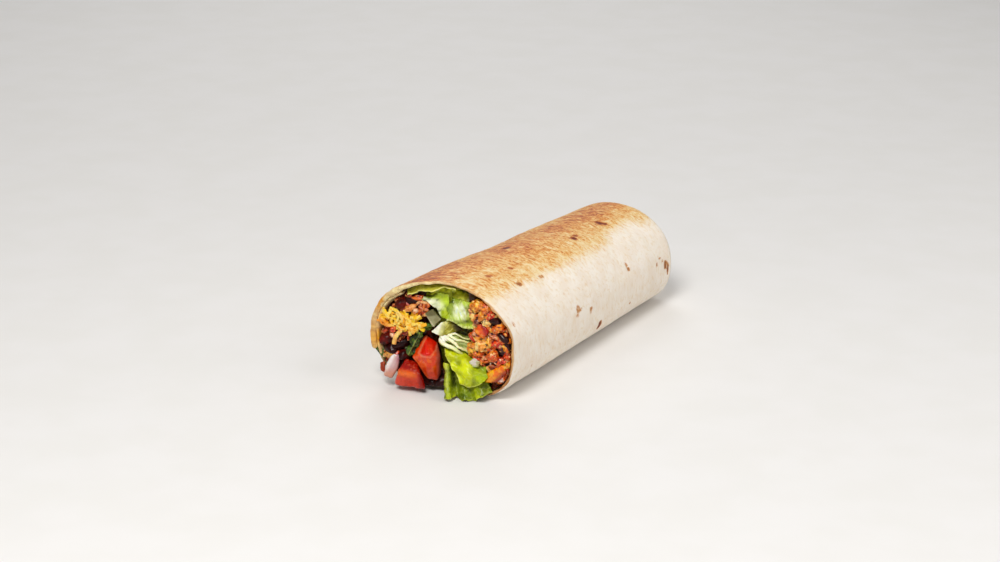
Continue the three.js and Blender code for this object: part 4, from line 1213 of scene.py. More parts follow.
def tomato_large_tint(across, up, place):
    grain = rough(place, 1.6, 71)
    red = within(TOMATO_RED_PART, across, up) + 0.3 * grain
    streak = bump(across + 0.66 * up, -4.2, 1.3) * fall(up, 14.5, 17)
    return painted(
        (226, 60, 2),
        ((240, 96, 14), rise(grain, -0.1, 0.6)),
        ((188, 44, 4), 0.8 * fall(up, 9, 14)),
        ((240, 132, 84), 0.5 * streak),
        # The right side, darkened in two steps: painted shade.
        ((176, 74, 56), rise(across, -3.6, -1.6)),
        ((224, 22, 0), rise(red, -0.35, 0.35)),
        ((246, 74, 40), 0.6 * blot(across, up, (-5.2, 21.8), (1.4, 2.4))),
        ((244, 150, 110), 0.45 * bump(red, -0.5, 0.45)),
        ((70, 10, 2), rise(across, -1.4, -0.2)),
    )


def tomato_small_tint(across, up, place):
    speck = rise(rough(place, 1.2, 72), 0.3, 0.6)
    stripe = bump(up, 7.2, 1.5) * fall(across, -15, -11)
    corner = fall(across, -20, -17) * fall(up, 4, 6)
    return painted(
        (196, 44, 4),
        ((234, 104, 8), stripe),
        ((214, 66, 40), 0.7 * corner),
        ((160, 14, 0), rise(up + 0.1 * across, 6.8, 8.4)),
        ((206, 90, 60), 0.6 * speck * rise(up, 8, 10)),
        # The right part darker: painted shade.
        ((138, 10, 0), rise(across, -12.8, -10.6)),
    )


def onion_tint(across, up, place):
    breadth, length = 0.894 * across - 0.447 * up, 0.447 * across + 0.894 * up
    veil = noise(points(breadth * 0.5, length * 0.1, 0), 1.0, 73)
    return painted(
        (196, 152, 150),
        ((238, 226, 224), rise(veil, -0.25, 0.45)),
        ((206, 140, 112), 0.8 * fall(up, 6, 10)),
        ((176, 104, 124), 0.7 * rise(across, -23.6, -21.4) * rise(up, 11, 14)),
    )


def onion_bit_tint(across, up, place):
    streak = noise(points(across * 0.4, up * 1.2, 0), 1.0, 79)
    return painted(
        (172, 168, 110),
        ((214, 206, 190), rise(streak, -0.3, 0.4)),
        ((176, 186, 84), 0.7 * fall(up, 15.2, 16.8)),
    )


def pepper_tint(across, up, place):
    return painted(
        (240, 112, 4),
        ((255, 184, 24), rise(rough(place, 2.4, 74), -0.45, 0.25)),
        ((166, 54, 8), rise(across - 0.9 * up, 13.4, 16.4)),
    )


def red_dice_tint(across, up, place):
    return painted(
        (226, 78, 8),
        ((246, 142, 34), rise(rough(place, 2.2, 75), -0.1, 0.6)),
        ((168, 16, 2), rise(across + 0.4 * up, 32.4, 34.6)),
    )


def tomato_bit_tint(across, up, place):
    return painted((150, 50, 16), ((190, 90, 50), rise(rough(place, 1.4, 76), 0, 0.6)))


def green_dice_tint(across, up, place):
    line = 38.2 + 0.3 * across
    edge = bump(up + 1.28 * across, 28.6, 0.7) * fall(up, 38, 39.5)
    return painted(
        (152, 148, 108),
        ((104, 98, 58), rise(up, line - 0.4, line + 0.6)),
        ((214, 204, 164), 0.8 * edge),
        ((120, 116, 70), 0.6 * rise(rough(place, 2.2, 77), 0.0, 0.6)),
    )


def rib_tint(across, up, place):
    strokes = rough(points((across - 0.9 * up) * 0.9, (up + across) * 0.35, 0), 1.0, 78)
    end = across - 0.35 * (up - 31)
    line = bump(up - 0.98 * across, 33.4, 0.5) * rise(3.2 - across, 0, 1)
    return painted(
        (150, 142, 26),
        ((208, 202, 96), rise(strokes, -0.3, 0.4)),
        ((222, 222, 150), 0.8 * fall(end, 0.4, 2.6)),
        ((226, 224, 150), 0.7 * line),
        ((250, 248, 226), fall(end, -1.0, 0.6)),
        ((72, 60, 6), rise(across + 0.3 * (up - 32), 5.0, 8.6)),
    )


# Each cut piece: node, slot, food, tint, roundness, plumpness, voxel, relief, size of the
# relief, and corners.
CUTS = [
    (
        "tomato_large", "tomato", "tomato_flesh", tomato_large_tint, 0.8, 0.3, 0.3, 0.3, 4.2,
        [
            (-13.2, 16.2, 0.5), (-6.6, 7, -1), (-3.2, 6.8, 0), (-1.4, 10, 3), (-1.3, 18, 2),
            (-7, 18.3, -2.5), (-7.2, 26.6, 4.5), (-2.6, 24, 5), (-12, 18, 6), (-6, 11, 8),
            (-7, 22, 9),
        ],
    ),
    (
        "tomato_small", "tomato", "tomato_flesh", tomato_small_tint, 0.8, 0.3, 0.3, 0.4, 3.0,
        [
            (-22.4, 2, -4), (-9.6, 1.8, -4), (-20.4, 8.4, -3.5), (-11.4, 8, -3.5),
            (-17, 13.6, 1), (-12.8, 12.8, 1.5), (-20.6, 7, 3), (-11, 6, 3),
        ],
    ),
    (
        "onion_slice", "onion", "onion_flesh", onion_tint, 0.8, 0.2, 0.26, 0.2, 3.2,
        slab([
            (-23.2, 15.4, 0), (-21.2, 15.2, 0.4), (-25.8, 11, -1.6), (-22.2, 9.4, -1.2),
            (-27.6, 5.4, -2.2), (-25.2, 4.8, -2),
        ], 2.2),
    ),
    (
        "onion_bit", "onion", "onion_flesh", onion_bit_tint, 0.4, 0.1, 0.2, 0.35, 1.4,
        slab([
            (13.4, 17.4, -1.5), (15.6, 19.2, -1), (17.6, 18, -1), (17.2, 16, -1.2),
            (14.8, 15.4, -1.5),
        ], 1.4),
    ),
    (
        "pepper_strip", "pepper", "pepper_skin", pepper_tint, 0.8, 0.3, 0.26, 0.5, 2.6,
        slab([
            (20.8, 9.6, -0.6), (21.6, 12.4, -0.2), (25.6, 15, -0.4), (28.6, 17.4, 0),
            (29.6, 15.2, 0), (25.4, 9.8, -0.8),
        ], 3),
    ),
    (
        "red_dice", "tomato", "pepper_skin", red_dice_tint, 0.8, 0.3, 0.26, 0.5, 2.2,
        slab([(17.2, 33, 0.4), (19.4, 36, 0.6), (22.4, 33.6, 0.2), (20.2, 30.6, 0)], 4),
    ),
    (
        "tomato_bit", "tomato", "tomato_flesh", tomato_bit_tint, 0.5, 0.2, 0.2, 0.2, 1.4,
        slab([(-29.4, 10.6, 0), (-28.2, 11.2, 0), (-29.4, 7.2, -1), (-28.6, 7, -1)], 2),
    ),
    (
        "green_dice", "green_pepper", "green_flesh", green_dice_tint, 0.4, 0.0, 0.24, 0.25, 3.0,
        slab([(-6.3, 38, 1.5), (-3.2, 40.2, 2), (0.2, 36.2, 2.5), (-3.2, 32.4, 1.8)], 5),
    ),
    (
        "lettuce_rib", "lettuce_rib", "green_flesh", rib_tint, 0.4, 0.0, 0.22, 0.4, 1.9,
        [
            (-3.6, 29.8, 1), (0.6, 34.2, 1), (3, 35.2, 2.5), (8, 34.6, 4), (10.2, 32.8, 4.5),
            (5.2, 30.2, 2.5), (0.6, 28.7, 1), (2, 32, 6), (8, 32, 8),
        ],
    ),
]


def make_cuts():
    looks = {}
    for seed, (name, slot, food, tint, *form, corners) in enumerate(CUTS):
        roundness, plump, voxel, relief, size = form
        looks[food] = looks.get(food) or skin_of_food(food)
        place, faces, normal = hull_block(corners, roundness, voxel, plump)
        place = roughened(place, normal, relief, size, 40 + seed)
        place[:, 2] = np.maximum(place[:, 2], CLEARANCE)
        colour = tint(*seen_from_front(place), place)
        add_piece(name + "_piece", (place, faces), looks[food], slot, name, tint=colour)


# ---------------------------------------------------------------------------------------------
# Shreds

# Layers of shredded lettuce seen edge on, from top to bottom, as (width, places along the edge).
LETTUCE_LAYERS = [
    (0.9, [
        (3.6, 29.0, 1.0), (4.8, 29.8, 0.8), (6.2, 30.2, 0.6), (7.7, 30.2, 0.8),
        (9.4, 29.3, 1.4), (11.4, 28.5, 2.2), (14.8, 28.7, 3.6),
    ]),
    (1.1, [
        (3.2, 28.5, 0.8), (4.4, 29.1, 0.5), (5.6, 28.6, 0.3), (7.2, 27.7, 0.4),
        (9.3, 27.2, 0.9), (11.6, 26.9, 2.0), (14.4, 26.5, 3.1),
    ]),
    (1.4, [
        (1.0, 28.0, 0.9), (2.4, 28.0, 0.5), (3.6, 27.4, 0.3), (5.4, 26.2, 0.1),
        (7.4, 24.7, 0.3), (9.8, 23.3, 0.9), (12.2, 22.4, 2.1), (14.4, 21.6, 3.6),
    ]),
    (2.0, [
        (0.2, 27.4, 0.8), (0.3, 26.2, 0.4), (1.5, 24.9, 0.1), (3.5, 23.8, 0.0),
        (6.0, 22.9, 0.2), (8.3, 21.8, 1.1), (10.6, 20.4, 2.8),
    ]),
]
SHRED_BASE = [
    (-0.3, 26.9, 0.8), (0.0, 27.9, 1.0), (1.9, 28.5, 1.2), (3.6, 28.0, 1.1), (3.3, 26.9, 0.9),
    (0.6, 25.2, 0.4), (1.6, 27.4, 3.0),
]


def lettuce_layer(width, places, seed):
    """A layer of shredded lettuce that runs back from the front edge through the places."""
    steps = (90, 24)
    curve = smooth_curve(places, 60)

    def sheet(u, v):
        at = u * (len(curve) - 1)
        across, up, depth = (np.interp(at, np.arange(len(curve)), row) for row in curve.T)
        up = up - 0.5 * v + 0.3 * np.sin(9 * u + seed) * v
        return shown_at(across, up, depth + 2.6 * v)

    slender = width * (1.15 - 0.55 * np.linspace(0, 1, steps[0]))[:, None]
    return leaf_shape(sheet, np.broadcast_to(slender, steps), steps, 0.22, 3.0, 0.2, 30 + seed)


def shred_backing(u, v):
    across = lerp(2.4, 15.4, u)
    top, bottom = 28.6 + 1.6 * np.sin(2.6 * u), 26.6 - 4.8 * u
    depth = 1.6 + 3.0 * u**1.6 + 0.35 * np.sin(14 * v + 3 * u)
    return shown_at(across, lerp(top, bottom, v), depth)


def grown_shreds(shapes, tints, voxel, relief, size, seed, reach):
    """Shreds grown together, with their tints; also tells how hollow each point lies."""
    place, faces, normal = fused(shapes, voxel)
    place = roughened(place, normal, relief, size, seed)
    sources = np.concatenate([shape[0] for shape in shapes])
    tint = nearest_value(place, sources, np.concatenate(tints))
    return (place, faces), tint, hollowness(place, faces, normal, reach)


def make_lettuce_shreds():
    shapes, tints = [], []
    for seed, (width, places) in enumerate(LETTUCE_LAYERS):
        shape, u, v, _ = lettuce_layer(width, places, seed)
        inner = painted((206, 212, 120), ((124, 132, 34), rise(v, 0.2, 0.8)))
        edge = painted((252, 250, 212), ((226, 228, 146), rise(u, 0.35, 1.0)))
        shapes.append(shape)
        tints.append(blend(edge, inner, rise(v, 0.1, 0.3)))
    crinkle = 0.4
    shape, u, v, wave = leaf_shape(shred_backing, 0.8, (60, 50), crinkle, 3.0, 0.4, 39)
    shapes.append(shape)
    tints.append(painted(
        (108, 112, 18),
        # Lighter on the crinkles' crests and towards the shallower left, darker in the hollows:
        # painted light and shade.
        ((196, 210, 116), rise(wave / crinkle - 0.6 * u, -0.9, 0.5)),
        ((206, 220, 142), 0.8 * rise(v, 0.3, 0.6) * rise(u, 0.2, 0.5)),
    ))
    base, base_faces, _ = hull_block(SHRED_BASE, 0.5, 0.22)
    x, y, z = base.T
    lines = noise(points(x + 0.7 * z, 0.2 * y, 0.25 * z), 0.7, 82)
    shapes.append((base, base_faces))
    tints.append(painted((254, 254, 236), ((212, 206, 160), rise(lines, 0.0, 0.6))))
    shape, tint, hollow = grown_shreds(shapes, tints, 0.2, 0.1, 1.4, 81, reach=8)
    # Painted shade in the hollows between the shreds.
    tint = painted(tint, ((70, 74, 8), 0.9 * rise(hollow, 0.03, 0.3)))
    look = skin_of_food("shred_flesh")
    add_piece("lettuce_shreds_piece", shape, look, "lettuce_shreds", "lettuce_shreds", tint=tint)


CHEESE_OUTLINE = [
    (-29, 31), (-27, 35.5), (-23.5, 37.4), (-15, 37.4), (-9, 35), (-8, 31.5), (-13, 29),
    (-20, 29),
]
CHEESE_BED = [(-25, 32.5, 4.4), (-11, 32, 4.4), (-17, 35, 4.4), (-17, 30.6, 4.4)]


def make_cheese():
    random = np.random.default_rng(12)
    shapes, tints = [], []

    def add(start, end, depth, width, seed, colour=None):
        start, end = np.array(start), np.array(end)
        along = end - start
        side = np.array([-along[1], along[0]]) / max(np.linalg.norm(along), 1)
        bow = random.uniform(-1.0, 1.0)
        ends = depth + random.uniform(-0.5, 0.5, 2)
        middle = shown_at(*(lerp(start, end, 0.5) + side * bow), depth - 0.3)
        places = [shown_at(*start, ends[0]), middle, shown_at(*end, ends[1])]
        shape = strand(places, width, random.uniform(-1.3, 1.3), seed)
        across, up = seen_from_front(shape[0])
        if colour is None:
            base = lerp(rgb(250, 208, 22), rgb(246, 170, 20), random.uniform(0, 1))
        else:
            base = rgb(*colour)
        # Pale patches in the cheese's own tone, more of them towards the front of the pile as
        # painted light.
        pale = rise(noise(shape[0], 1.6, seed) + 0.3 * (1.6 - depth), 0.1, 0.9)
        orange = fall(across, -27, -20) * fall(up, 31.5, 34.5)
        # Darker orange deeper in the pile: painted shade.
        painted_deep_shade = rise(depth + 0.8 * noise(shape[0], 2.4, seed), 2.0, 3.4)
        shapes.append(shape)
        tints.append(painted(
            base,
            ((255, 238, 140), 0.6 * pale),
            ((240, 138, 14), 0.85 * orange),
            ((206, 118, 14), painted_deep_shade),
        ))

    for i, middle in enumerate(scattered(CHEESE_OUTLINE, 92, random, 0.9)):
        reach = random.uniform(1.3, 3.2)
        flat = random.uniform(0, 1) < 0.75
        lean = random.uniform(-1.0, 0.9) if flat else random.uniform(1.0, 2.1)
        side = np.array([math.cos(lean), math.sin(lean)]) * reach
        depth, width = random.uniform(-0.8, 3.2), random.uniform(1.0, 1.7)
        add(middle - side, middle + side, depth, width, 240 + i)
    add((-18.4, 28.6), (-22.8, 20.8), -0.6, 2.1, 230, (234, 166, 84))
    add((-16.4, 30.4), (-12.2, 27.6), 0.2, 1.9, 231, (240, 176, 60))
    shape, tint, hollow = grown_shreds(shapes, tints, 0.18, 0.14, 1.1, 91, reach=9)
    # Painted shade in the hollows between the shreds.
    tint = painted(tint, ((158, 66, 4), rise(hollow, 0.0, 0.22)))
    bed, bed_faces, normal = hull_block(CHEESE_BED, 1.4, 0.35)
    bed = roughened(bed, normal, 0.6, 1.6, 90)
    shape = merge([shape, (bed, bed_faces)])
    tint = np.concatenate([tint, np.broadcast_to(rgb(196, 104, 18), bed.shape)])
    look = skin_of_food("cheese_shred")
    add_piece("cheese_shreds_piece", shape, look, "cheese", "cheese_shreds", tint=tint)


# ---------------------------------------------------------------------------------------------
# Fillings: a core that runs through the roll, and the food that shows on it


def salad_left(up):
    """The border between the beans and the salad, at a height."""
    return -8.6 + 1.6 * np.sin(up / 8) + 9.5 * fall(up, 4, 13)


def salad_right(up):
    """The border between the salad and the meat."""
    return 12.2 + 8 * fall(up, 6, 21)


def room_outline(straight):
    """The outline of the room inside the sheet at a share of the straight length."""
    angle = np.linspace(-QUARTER, 3 * QUARTER, 721)
    past = angle - (SEAM + SEAM_DRIFT * straight)
    lap = np.where(past >= 0, fall(past, 0, SEAM_FADE), angle > INNER_EDGE - 0.02)
    inset = SHEET + lap * (SHEET + LAP_GAP) + GAP
    return section_point(angle, straight * STRAIGHT / LENGTH, inset)


def core_section(straight, left, right, level, across):
    """Points of a core's cross-section, for shares of its height and of its width.

    Its left and right borders are functions of the height, or None where it meets the sheet.
    """
    x, z, middle = room_outline(straight)
    half = len(x) // 2
    right_x, right_z = x[: half + 1], z[: half + 1]
    left_x, left_z = x[half:][::-1], z[half:][::-1]
    heights = np.linspace(z.min() + 0.02, z.max() - 0.05, 300)
    low_x = np.interp(heights, left_z, left_x)
    high_x = np.interp(heights, right_z, right_x)
    if left:
        low_x = np.maximum(low_x, left(heights) + GAP / 2)
    if right:
        high_x = np.minimum(high_x, right(heights) - GAP / 2)
    valid = heights[high_x - low_x > 0.3]
    up = lerp(valid.min(), valid.max(), level)
    low = np.interp(up, heights, low_x)
    high = np.maximum(np.interp(up, heights, high_x), low + 0.05)
    return lerp(low, high, across), up, middle


def core_shape(left, right, bed_depth, relief, size, seed):
    """A filling's core: its uneven face at the mouth, and its sides back to the shut end."""
    levels, columns = 90, 60
    level, across = grid_shares(levels, columns)

    def station(straight, arc, a, b, lift):
        x, z, middle = core_section(straight, left, right, a, b)
        front = mouth_plane(x, z) + bed_depth + lift
        y = lerp(front, LENGTH / 2 - FOLD_WALL - GAP - DOME, straight)
        y = y + DOME * superellipse(math.sin(arc), DOME_POWER)
        scale = superellipse(math.cos(arc), DOME_POWER)
        return points(x * scale, y, middle + (z - middle) * scale)

    def face_lift(a, b):
        flat = station(0.0, 0.0, a, b, 0.0)
        swell = 0.8 * np.sin(flat[..., 0] / 17 + flat[..., 2] / 11)
        return swell + relief * rough(flat, size, seed)

    face = station(0.0, 0.0, level, across, face_lift(level, across))

    def round_edge(grid):
        """The values of a grid along its edge, once round."""
        return np.concatenate([grid[0], grid[1:, -1], grid[-1, ::-1][1:], grid[::-1, 0][1:-1]])

    edge_level, edge_across = round_edge(level), round_edge(across)
    lift = face_lift(edge_level, edge_across)
    stations = [(share, 0.0) for share in (0.0, 0.02, 0.06, 0.15, 0.35, 0.6, 0.8, 1.0)]
    stations += [(1.0, swing) for swing in (0.3, 0.6, 0.9, 1.2, QUARTER)]
    rings = [station(straight, arc, edge_level, edge_across, lift) for straight, arc in stations]
    walls = grid_faces(len(rings), len(edge_level), wrap=True)[:, ::-1]
    front = (face.reshape(-1, 3), grid_faces(levels, columns))
    return welded(*merge([front, (np.concatenate(rings), walls)]))[0]


def add_pile(name, items, material, slot):
    """Pieces of food, as (points, faces, tint), merged into one mesh piece."""
    shape = merge([(place, faces) for place, faces, _ in items])
    tint = np.concatenate([tint for _, _, tint in items])
    add_piece(name, shape, material, slot, tint=tint)


def laid(body, turns, spot, radius):
    """A body turned and laid where it shows at a spot, its middle a radius from the sheet."""
    return turned(body, *turns) + kept_inside(shown_at(*spot), radius)


def bean(spot, length, width, turns, colour, seed):
    body, faces = ball(34, 38)
    body = body * (width / 2, length / 2, width / 2 * 0.8)
    body[:, 0] -= 0.16 * width * (2 * body[:, 1] / length) ** 2
    lumpy = 1 + 0.12 * rough(body, 4, seed) + 0.05 * rough(body, 1.5, seed + 4)
    body = body * lumpy[:, None]
    scar = bump(body[:, 1], 0, length * 0.12) * bump(body[:, 0], width * 0.45, width * 0.12)
    colour = rgb(*colour)
    tint = painted(
        blend(colour, 2.0 * colour, 0.8 * rise(rough(body, 1.8, seed + 1), 0.05, 0.6)),
        ((20, 6, 8), 0.8 * rise(rough(body, 3.0, seed + 2), 0.0, 0.5)),
        ((204, 170, 140), 0.5 * scar),
    )
    return kept_inside(laid(body, turns, spot, width * 0.42), CLEARANCE), faces, tint


def rice_grain(spot, length, width, turns, colour, seed):
    body, faces = ball(14, 10)
    body = body * (width / 2, length / 2, width / 2 * 0.85)
    body[:, 0] += 0.06 * length * (2 * body[:, 1] / length) ** 2
    body = body * (1 + 0.06 * noise(body, 1.6, seed))[:, None]
    colour = rgb(*colour)
    tint = blend(colour, colour * 0.7, rise(np.abs(body[:, 1]) / length, 0.3, 0.5))
    return kept_inside(laid(body, turns, spot, width), CLEARANCE), faces, tint


def grain_turns(random, tilt=0.5):
    """Turns that lay a grain across the line of sight, whichever way it points."""
    lean, way = random.uniform(-0.5, 0.5), random.uniform(0, math.pi)
    return lean, way, QUARTER + random.uniform(-tilt, tilt)


def crumb_lump(spot, length, width, turn, seed):
    body, faces = ball(14, 16)
    fine = rough(body * 4, 1.3, seed + 3, 2)
    body = body * (1 + 0.22 * rough(body * 4, 3.4, seed) + 0.1 * fine)[:, None]
    mean = (length + width) / 4
    return laid(body * (length / 2, mean, width / 2), (0, -turn, 0), spot, mean), faces


def grown_heap(lumps, tones, crevice_shade, shine, seed, voxel):
    """Lumps grown together into one craggy mass, each in its tone, with painted shade in its
    creases and crevices and painted highlights on its crests and in small glints.
    """
    place, faces, normal = fused([lump[:2] for lump in lumps], voxel)
    centres = np.array([lump[0].mean(0) for lump in lumps])
    sizes = np.array([np.ptp(lump[0], axis=0).mean() / 2 for lump in lumps])
    warped = place + 0.7 * warp_of(place, 1.5, seed)
    nearest = np.argmin(np.linalg.norm(warped[:, None] - centres, axis=-1) / sizes, axis=1)
    creased = np.abs(noise(place, 1.7, seed + 11))
    creased = creased + 0.5 * np.abs(noise(place, 0.9, seed + 12)) - 0.4
    crags = 0.34 * rough(place, 2.2, seed) + 0.16 * rough(place, 0.9, seed + 9, 2) + 0.5 * creased
    place = kept_inside(place + normal * (crags - 0.1)[:, None], CLEARANCE)
    palette = np.array([[rgb(*colour) for colour in tone] for tone in tones])
    base, accent = palette[nearest, 0], palette[nearest, 1]
    tint = blend(base, accent, rise(rough(place, 1.5, seed + 5), -0.15, 0.4))
    # Darker along the creases: painted shade.
    tint = blend(tint, tint * 0.35, rise(0.12 - creased, 0.32, 0.52))
    hollow = hollowness(place, faces, normal)
    tint = painted(
        tint,
        # Painted glints and painted highlights on the crests (shine), then painted shade in the
        # crevices.
        (shine, 0.7 * rise(rough(place, 0.9, seed + 15, 2), 0.3, 0.6)),
        (shine, 0.55 * rise(-hollow, 0.12, 0.45)),
        (crevice_shade, rise(hollow, -0.02, 0.3)),
    )
    return (place, faces), tint


def inside_outline(outline, across, up):
    inside = False
    for (x1, z1), (x2, z2) in zip(outline, outline[1:] + outline[:1]):
        if (z1 > up) != (z2 > up) and across < x1 + (x2 - x1) * (up - z1) / (z2 - z1):
            inside = not inside
    return inside


def scattered(outline, count, random, apart):
    """Seeded places inside an outline, none closer than a distance."""
    low, high = np.min(outline, axis=0), np.max(outline, axis=0)
    found = []
    for _ in range(count * 30):
        spot = random.uniform(low, high)
        clear = all(math.dist(spot, other) > apart for other in found)
        if clear and inside_outline(outline, *spot):
            found.append(spot)
        if len(found) == count:
            break
    return found


def heap_spots(heaps, random):
    for outline, count, apart, depth in heaps:
        for across, up in scattered(outline, count, random, apart):
            yield across, up, depth


# Beans at the mouth, as (across, up, depth, turn).
BEANS = [
    (-17.8, 43.6, 4.2, 0.3), (-12.2, 44.2, 5.0, 1.8), (-20.4, 39.6, 4.6, 1.1),
    (-27.2, 24.4, 3.6, 0.1), (-24.4, 19.8, 3.2, 1.0), (-19.0, 22.6, 4.2, 2.3),
    (-18.4, 17.6, 4.0, 0.7), (-23.4, 13.4, 5, 1.5), (-7.2, 4.6, 3.5, 1.4),
    (-1.6, 4.4, 4, 1.8), (-15.2, 40.2, 5.4, 0.9), (-22.8, 26.2, 5.0, 1.7),
]
RICE_HEAP = [(-12.8, 37), (-6.4, 36.8), (-5.6, 41.6), (-6.8, 44.6), (-9.2, 46.4), (-11.6, 44.6)]
LOW_HEAP = [(-29.6, 12.4), (-22.4, 12.4), (-20.5, 17), (-29.6, 17)]
MIDDLE_HEAP = [(-25.6, 24.6), (-20.6, 25), (-15.5, 25.6), (-14.5, 29.6), (-26, 30)]
LEFT_HEAP = [(-24, 36), (-19, 37), (-17, 40), (-23, 40)]

BEAN_BLACK = (46, 10, 6)
BEAN_DARK = (44, 6, 6)
BEAN_RED = (84, 12, 6)
RICE_ORANGE = (222, 104, 34)
RICE_PALE = (238, 176, 112)
RICE_PINK = (228, 140, 104)
RICE_RED = (190, 50, 18)

# Tones are a colour and the accent that mottles it.
RICE_TONES = [
    ((160, 34, 4), (214, 88, 18)),
    ((180, 62, 12), (228, 128, 48)),
    ((104, 8, 4), (174, 38, 12)),
    ((184, 74, 46), (232, 148, 106)),
]
BRIGHT_RED = ((214, 36, 4), (246, 104, 30))
PINK_CREAM = ((222, 140, 96), (248, 204, 166))
SAUCED = ((120, 26, 8), (190, 70, 26))
ORANGE_CRUST = ((224, 128, 52), (246, 176, 104))
STRAW_CRUST = ((210, 146, 62), (240, 190, 110))

# Larger bits among the rice, as (across, up, depth, length, width, turn, tone).
NUGGETS = [
    (-22.2, 28.9, 1.2, 4.6, 3.8, 0.5, BRIGHT_RED),
    (-22.6, 25.4, 1.4, 4.6, 2.8, 0.1, PINK_CREAM), (-26.6, 27.2, 2.6, 3.6, 2.8, 0.2, SAUCED),
    (-19.4, 24.0, 2.4, 3.8, 2.8, 1.0, SAUCED), (-21.6, 16.2, 1.6, 3.8, 3.0, 0.6, BRIGHT_RED),
    (-26.8, 18.6, 2.8, 3.4, 2.4, 0.8, SAUCED), (-19.8, 43.4, 2.6, 3.2, 2.2, 0.3, SAUCED),
    (-14.2, 46.0, 3.0, 3.6, 2.2, 0.2, SAUCED),
    (-13.4, 40.0, 1.6, 6.8, 3.0, 0.75, ORANGE_CRUST),
    (-11.3, 38.5, 1.4, 3.0, 2.5, 0.2, PINK_CREAM),
    (-25.4, 15.6, 1.0, 6.4, 3.0, 0.5, STRAW_CRUST),
]

# Heaps of rice, as (outline, count, least distance, depth): those grown into the heap, and the
# loose grains on it.
GROWN_RICE = [
    (RICE_HEAP, 62, 1.3, 3.2), (LOW_HEAP, 26, 1.4, 2.6), (MIDDLE_HEAP, 34, 1.4, 3.0),
    (LEFT_HEAP, 14, 1.6, 2.6),
]
LOOSE_RICE = [(RICE_HEAP, 9, 2.6, 2.6), (LOW_HEAP, 4, 3.2, 2.2), (MIDDLE_HEAP, 4, 3.0, 2.8)]


def make_bean_filling():
    random = np.random.default_rng(5)
    core = core_shape(None, salad_left, bed_depth=5.5, relief=1.2, size=3.4, seed=51)
    shade = rise(rough(core[0], 2.0, 52), -0.3, 0.6)
    tint = painted((40, 8, 4), ((112, 30, 14), shade))
    sauce = skin_of_food("bean_sauce")
    add_piece("bean_sauce_core", core, sauce, "bean_rice", "bean_rice_filling", tint=tint)

    beans = []
    for i, (across, up, depth, turn) in enumerate(BEANS):
        # The beans lowest in the mouth get the black colour, which there also stands for painted
        # shade.
        colour = BEAN_BLACK if up < 5 else BEAN_DARK if i % 3 else BEAN_RED
        beans.append(bean((across, up, depth), 10.0, 6.6, (0.4, 0, turn), colour, 60 + i))
    add_pile("beans", beans, skin_of_food("bean_skin"), "bean_rice")

    lumps, tones = [], []
    for across, up, depth in heap_spots(GROWN_RICE, random):
        tone = RICE_TONES[random.choice(4, p=[0.38, 0.2, 0.32, 0.1])]
        turns, size = grain_turns(random), random.uniform(0.75, 1.1)
        spot = (across, up, depth + random.uniform(-0.7, 0.7))
        lumps.append(rice_grain(spot, 5.4 * size, 2.3 * size, turns, tone[0], len(lumps)))
        tones.append(tone)
    for *spot, length, width, turn, tone in NUGGETS:
        lumps.append(crumb_lump(spot, length, width, turn, 95 + len(lumps)))
        tones.append(tone)
    # The colours of its painted shade in the crevices and of its painted highlights.
    shape, tint = grown_heap(lumps, tones, (46, 6, 2), (244, 170, 96), 320, 0.28)
    rice = skin_of_food("rice_grain")
    add_piece("rice_heap", shape, rice, "bean_rice", tint=tint)

    grains = []
    colours = [RICE_ORANGE, RICE_PALE, RICE_PINK, RICE_RED]
    for spot in heap_spots(LOOSE_RICE, random):
        colour = colours[random.choice(4, p=[0.4, 0.25, 0.15, 0.2])]
        turns, size = grain_turns(random, 0.4), random.uniform(0.8, 1.1)
        grains.append(rice_grain(spot, 5.6 * size, 1.9 * size, turns, colour, len(grains)))
    pink = (214, 116, 100)
    grains.append(rice_grain((-15.6, 42.0, 2.2), 5.0, 1.6, (0, 0.6, QUARTER), pink, 93))
    add_pile("rice_grains", grains, rice, "bean_rice")


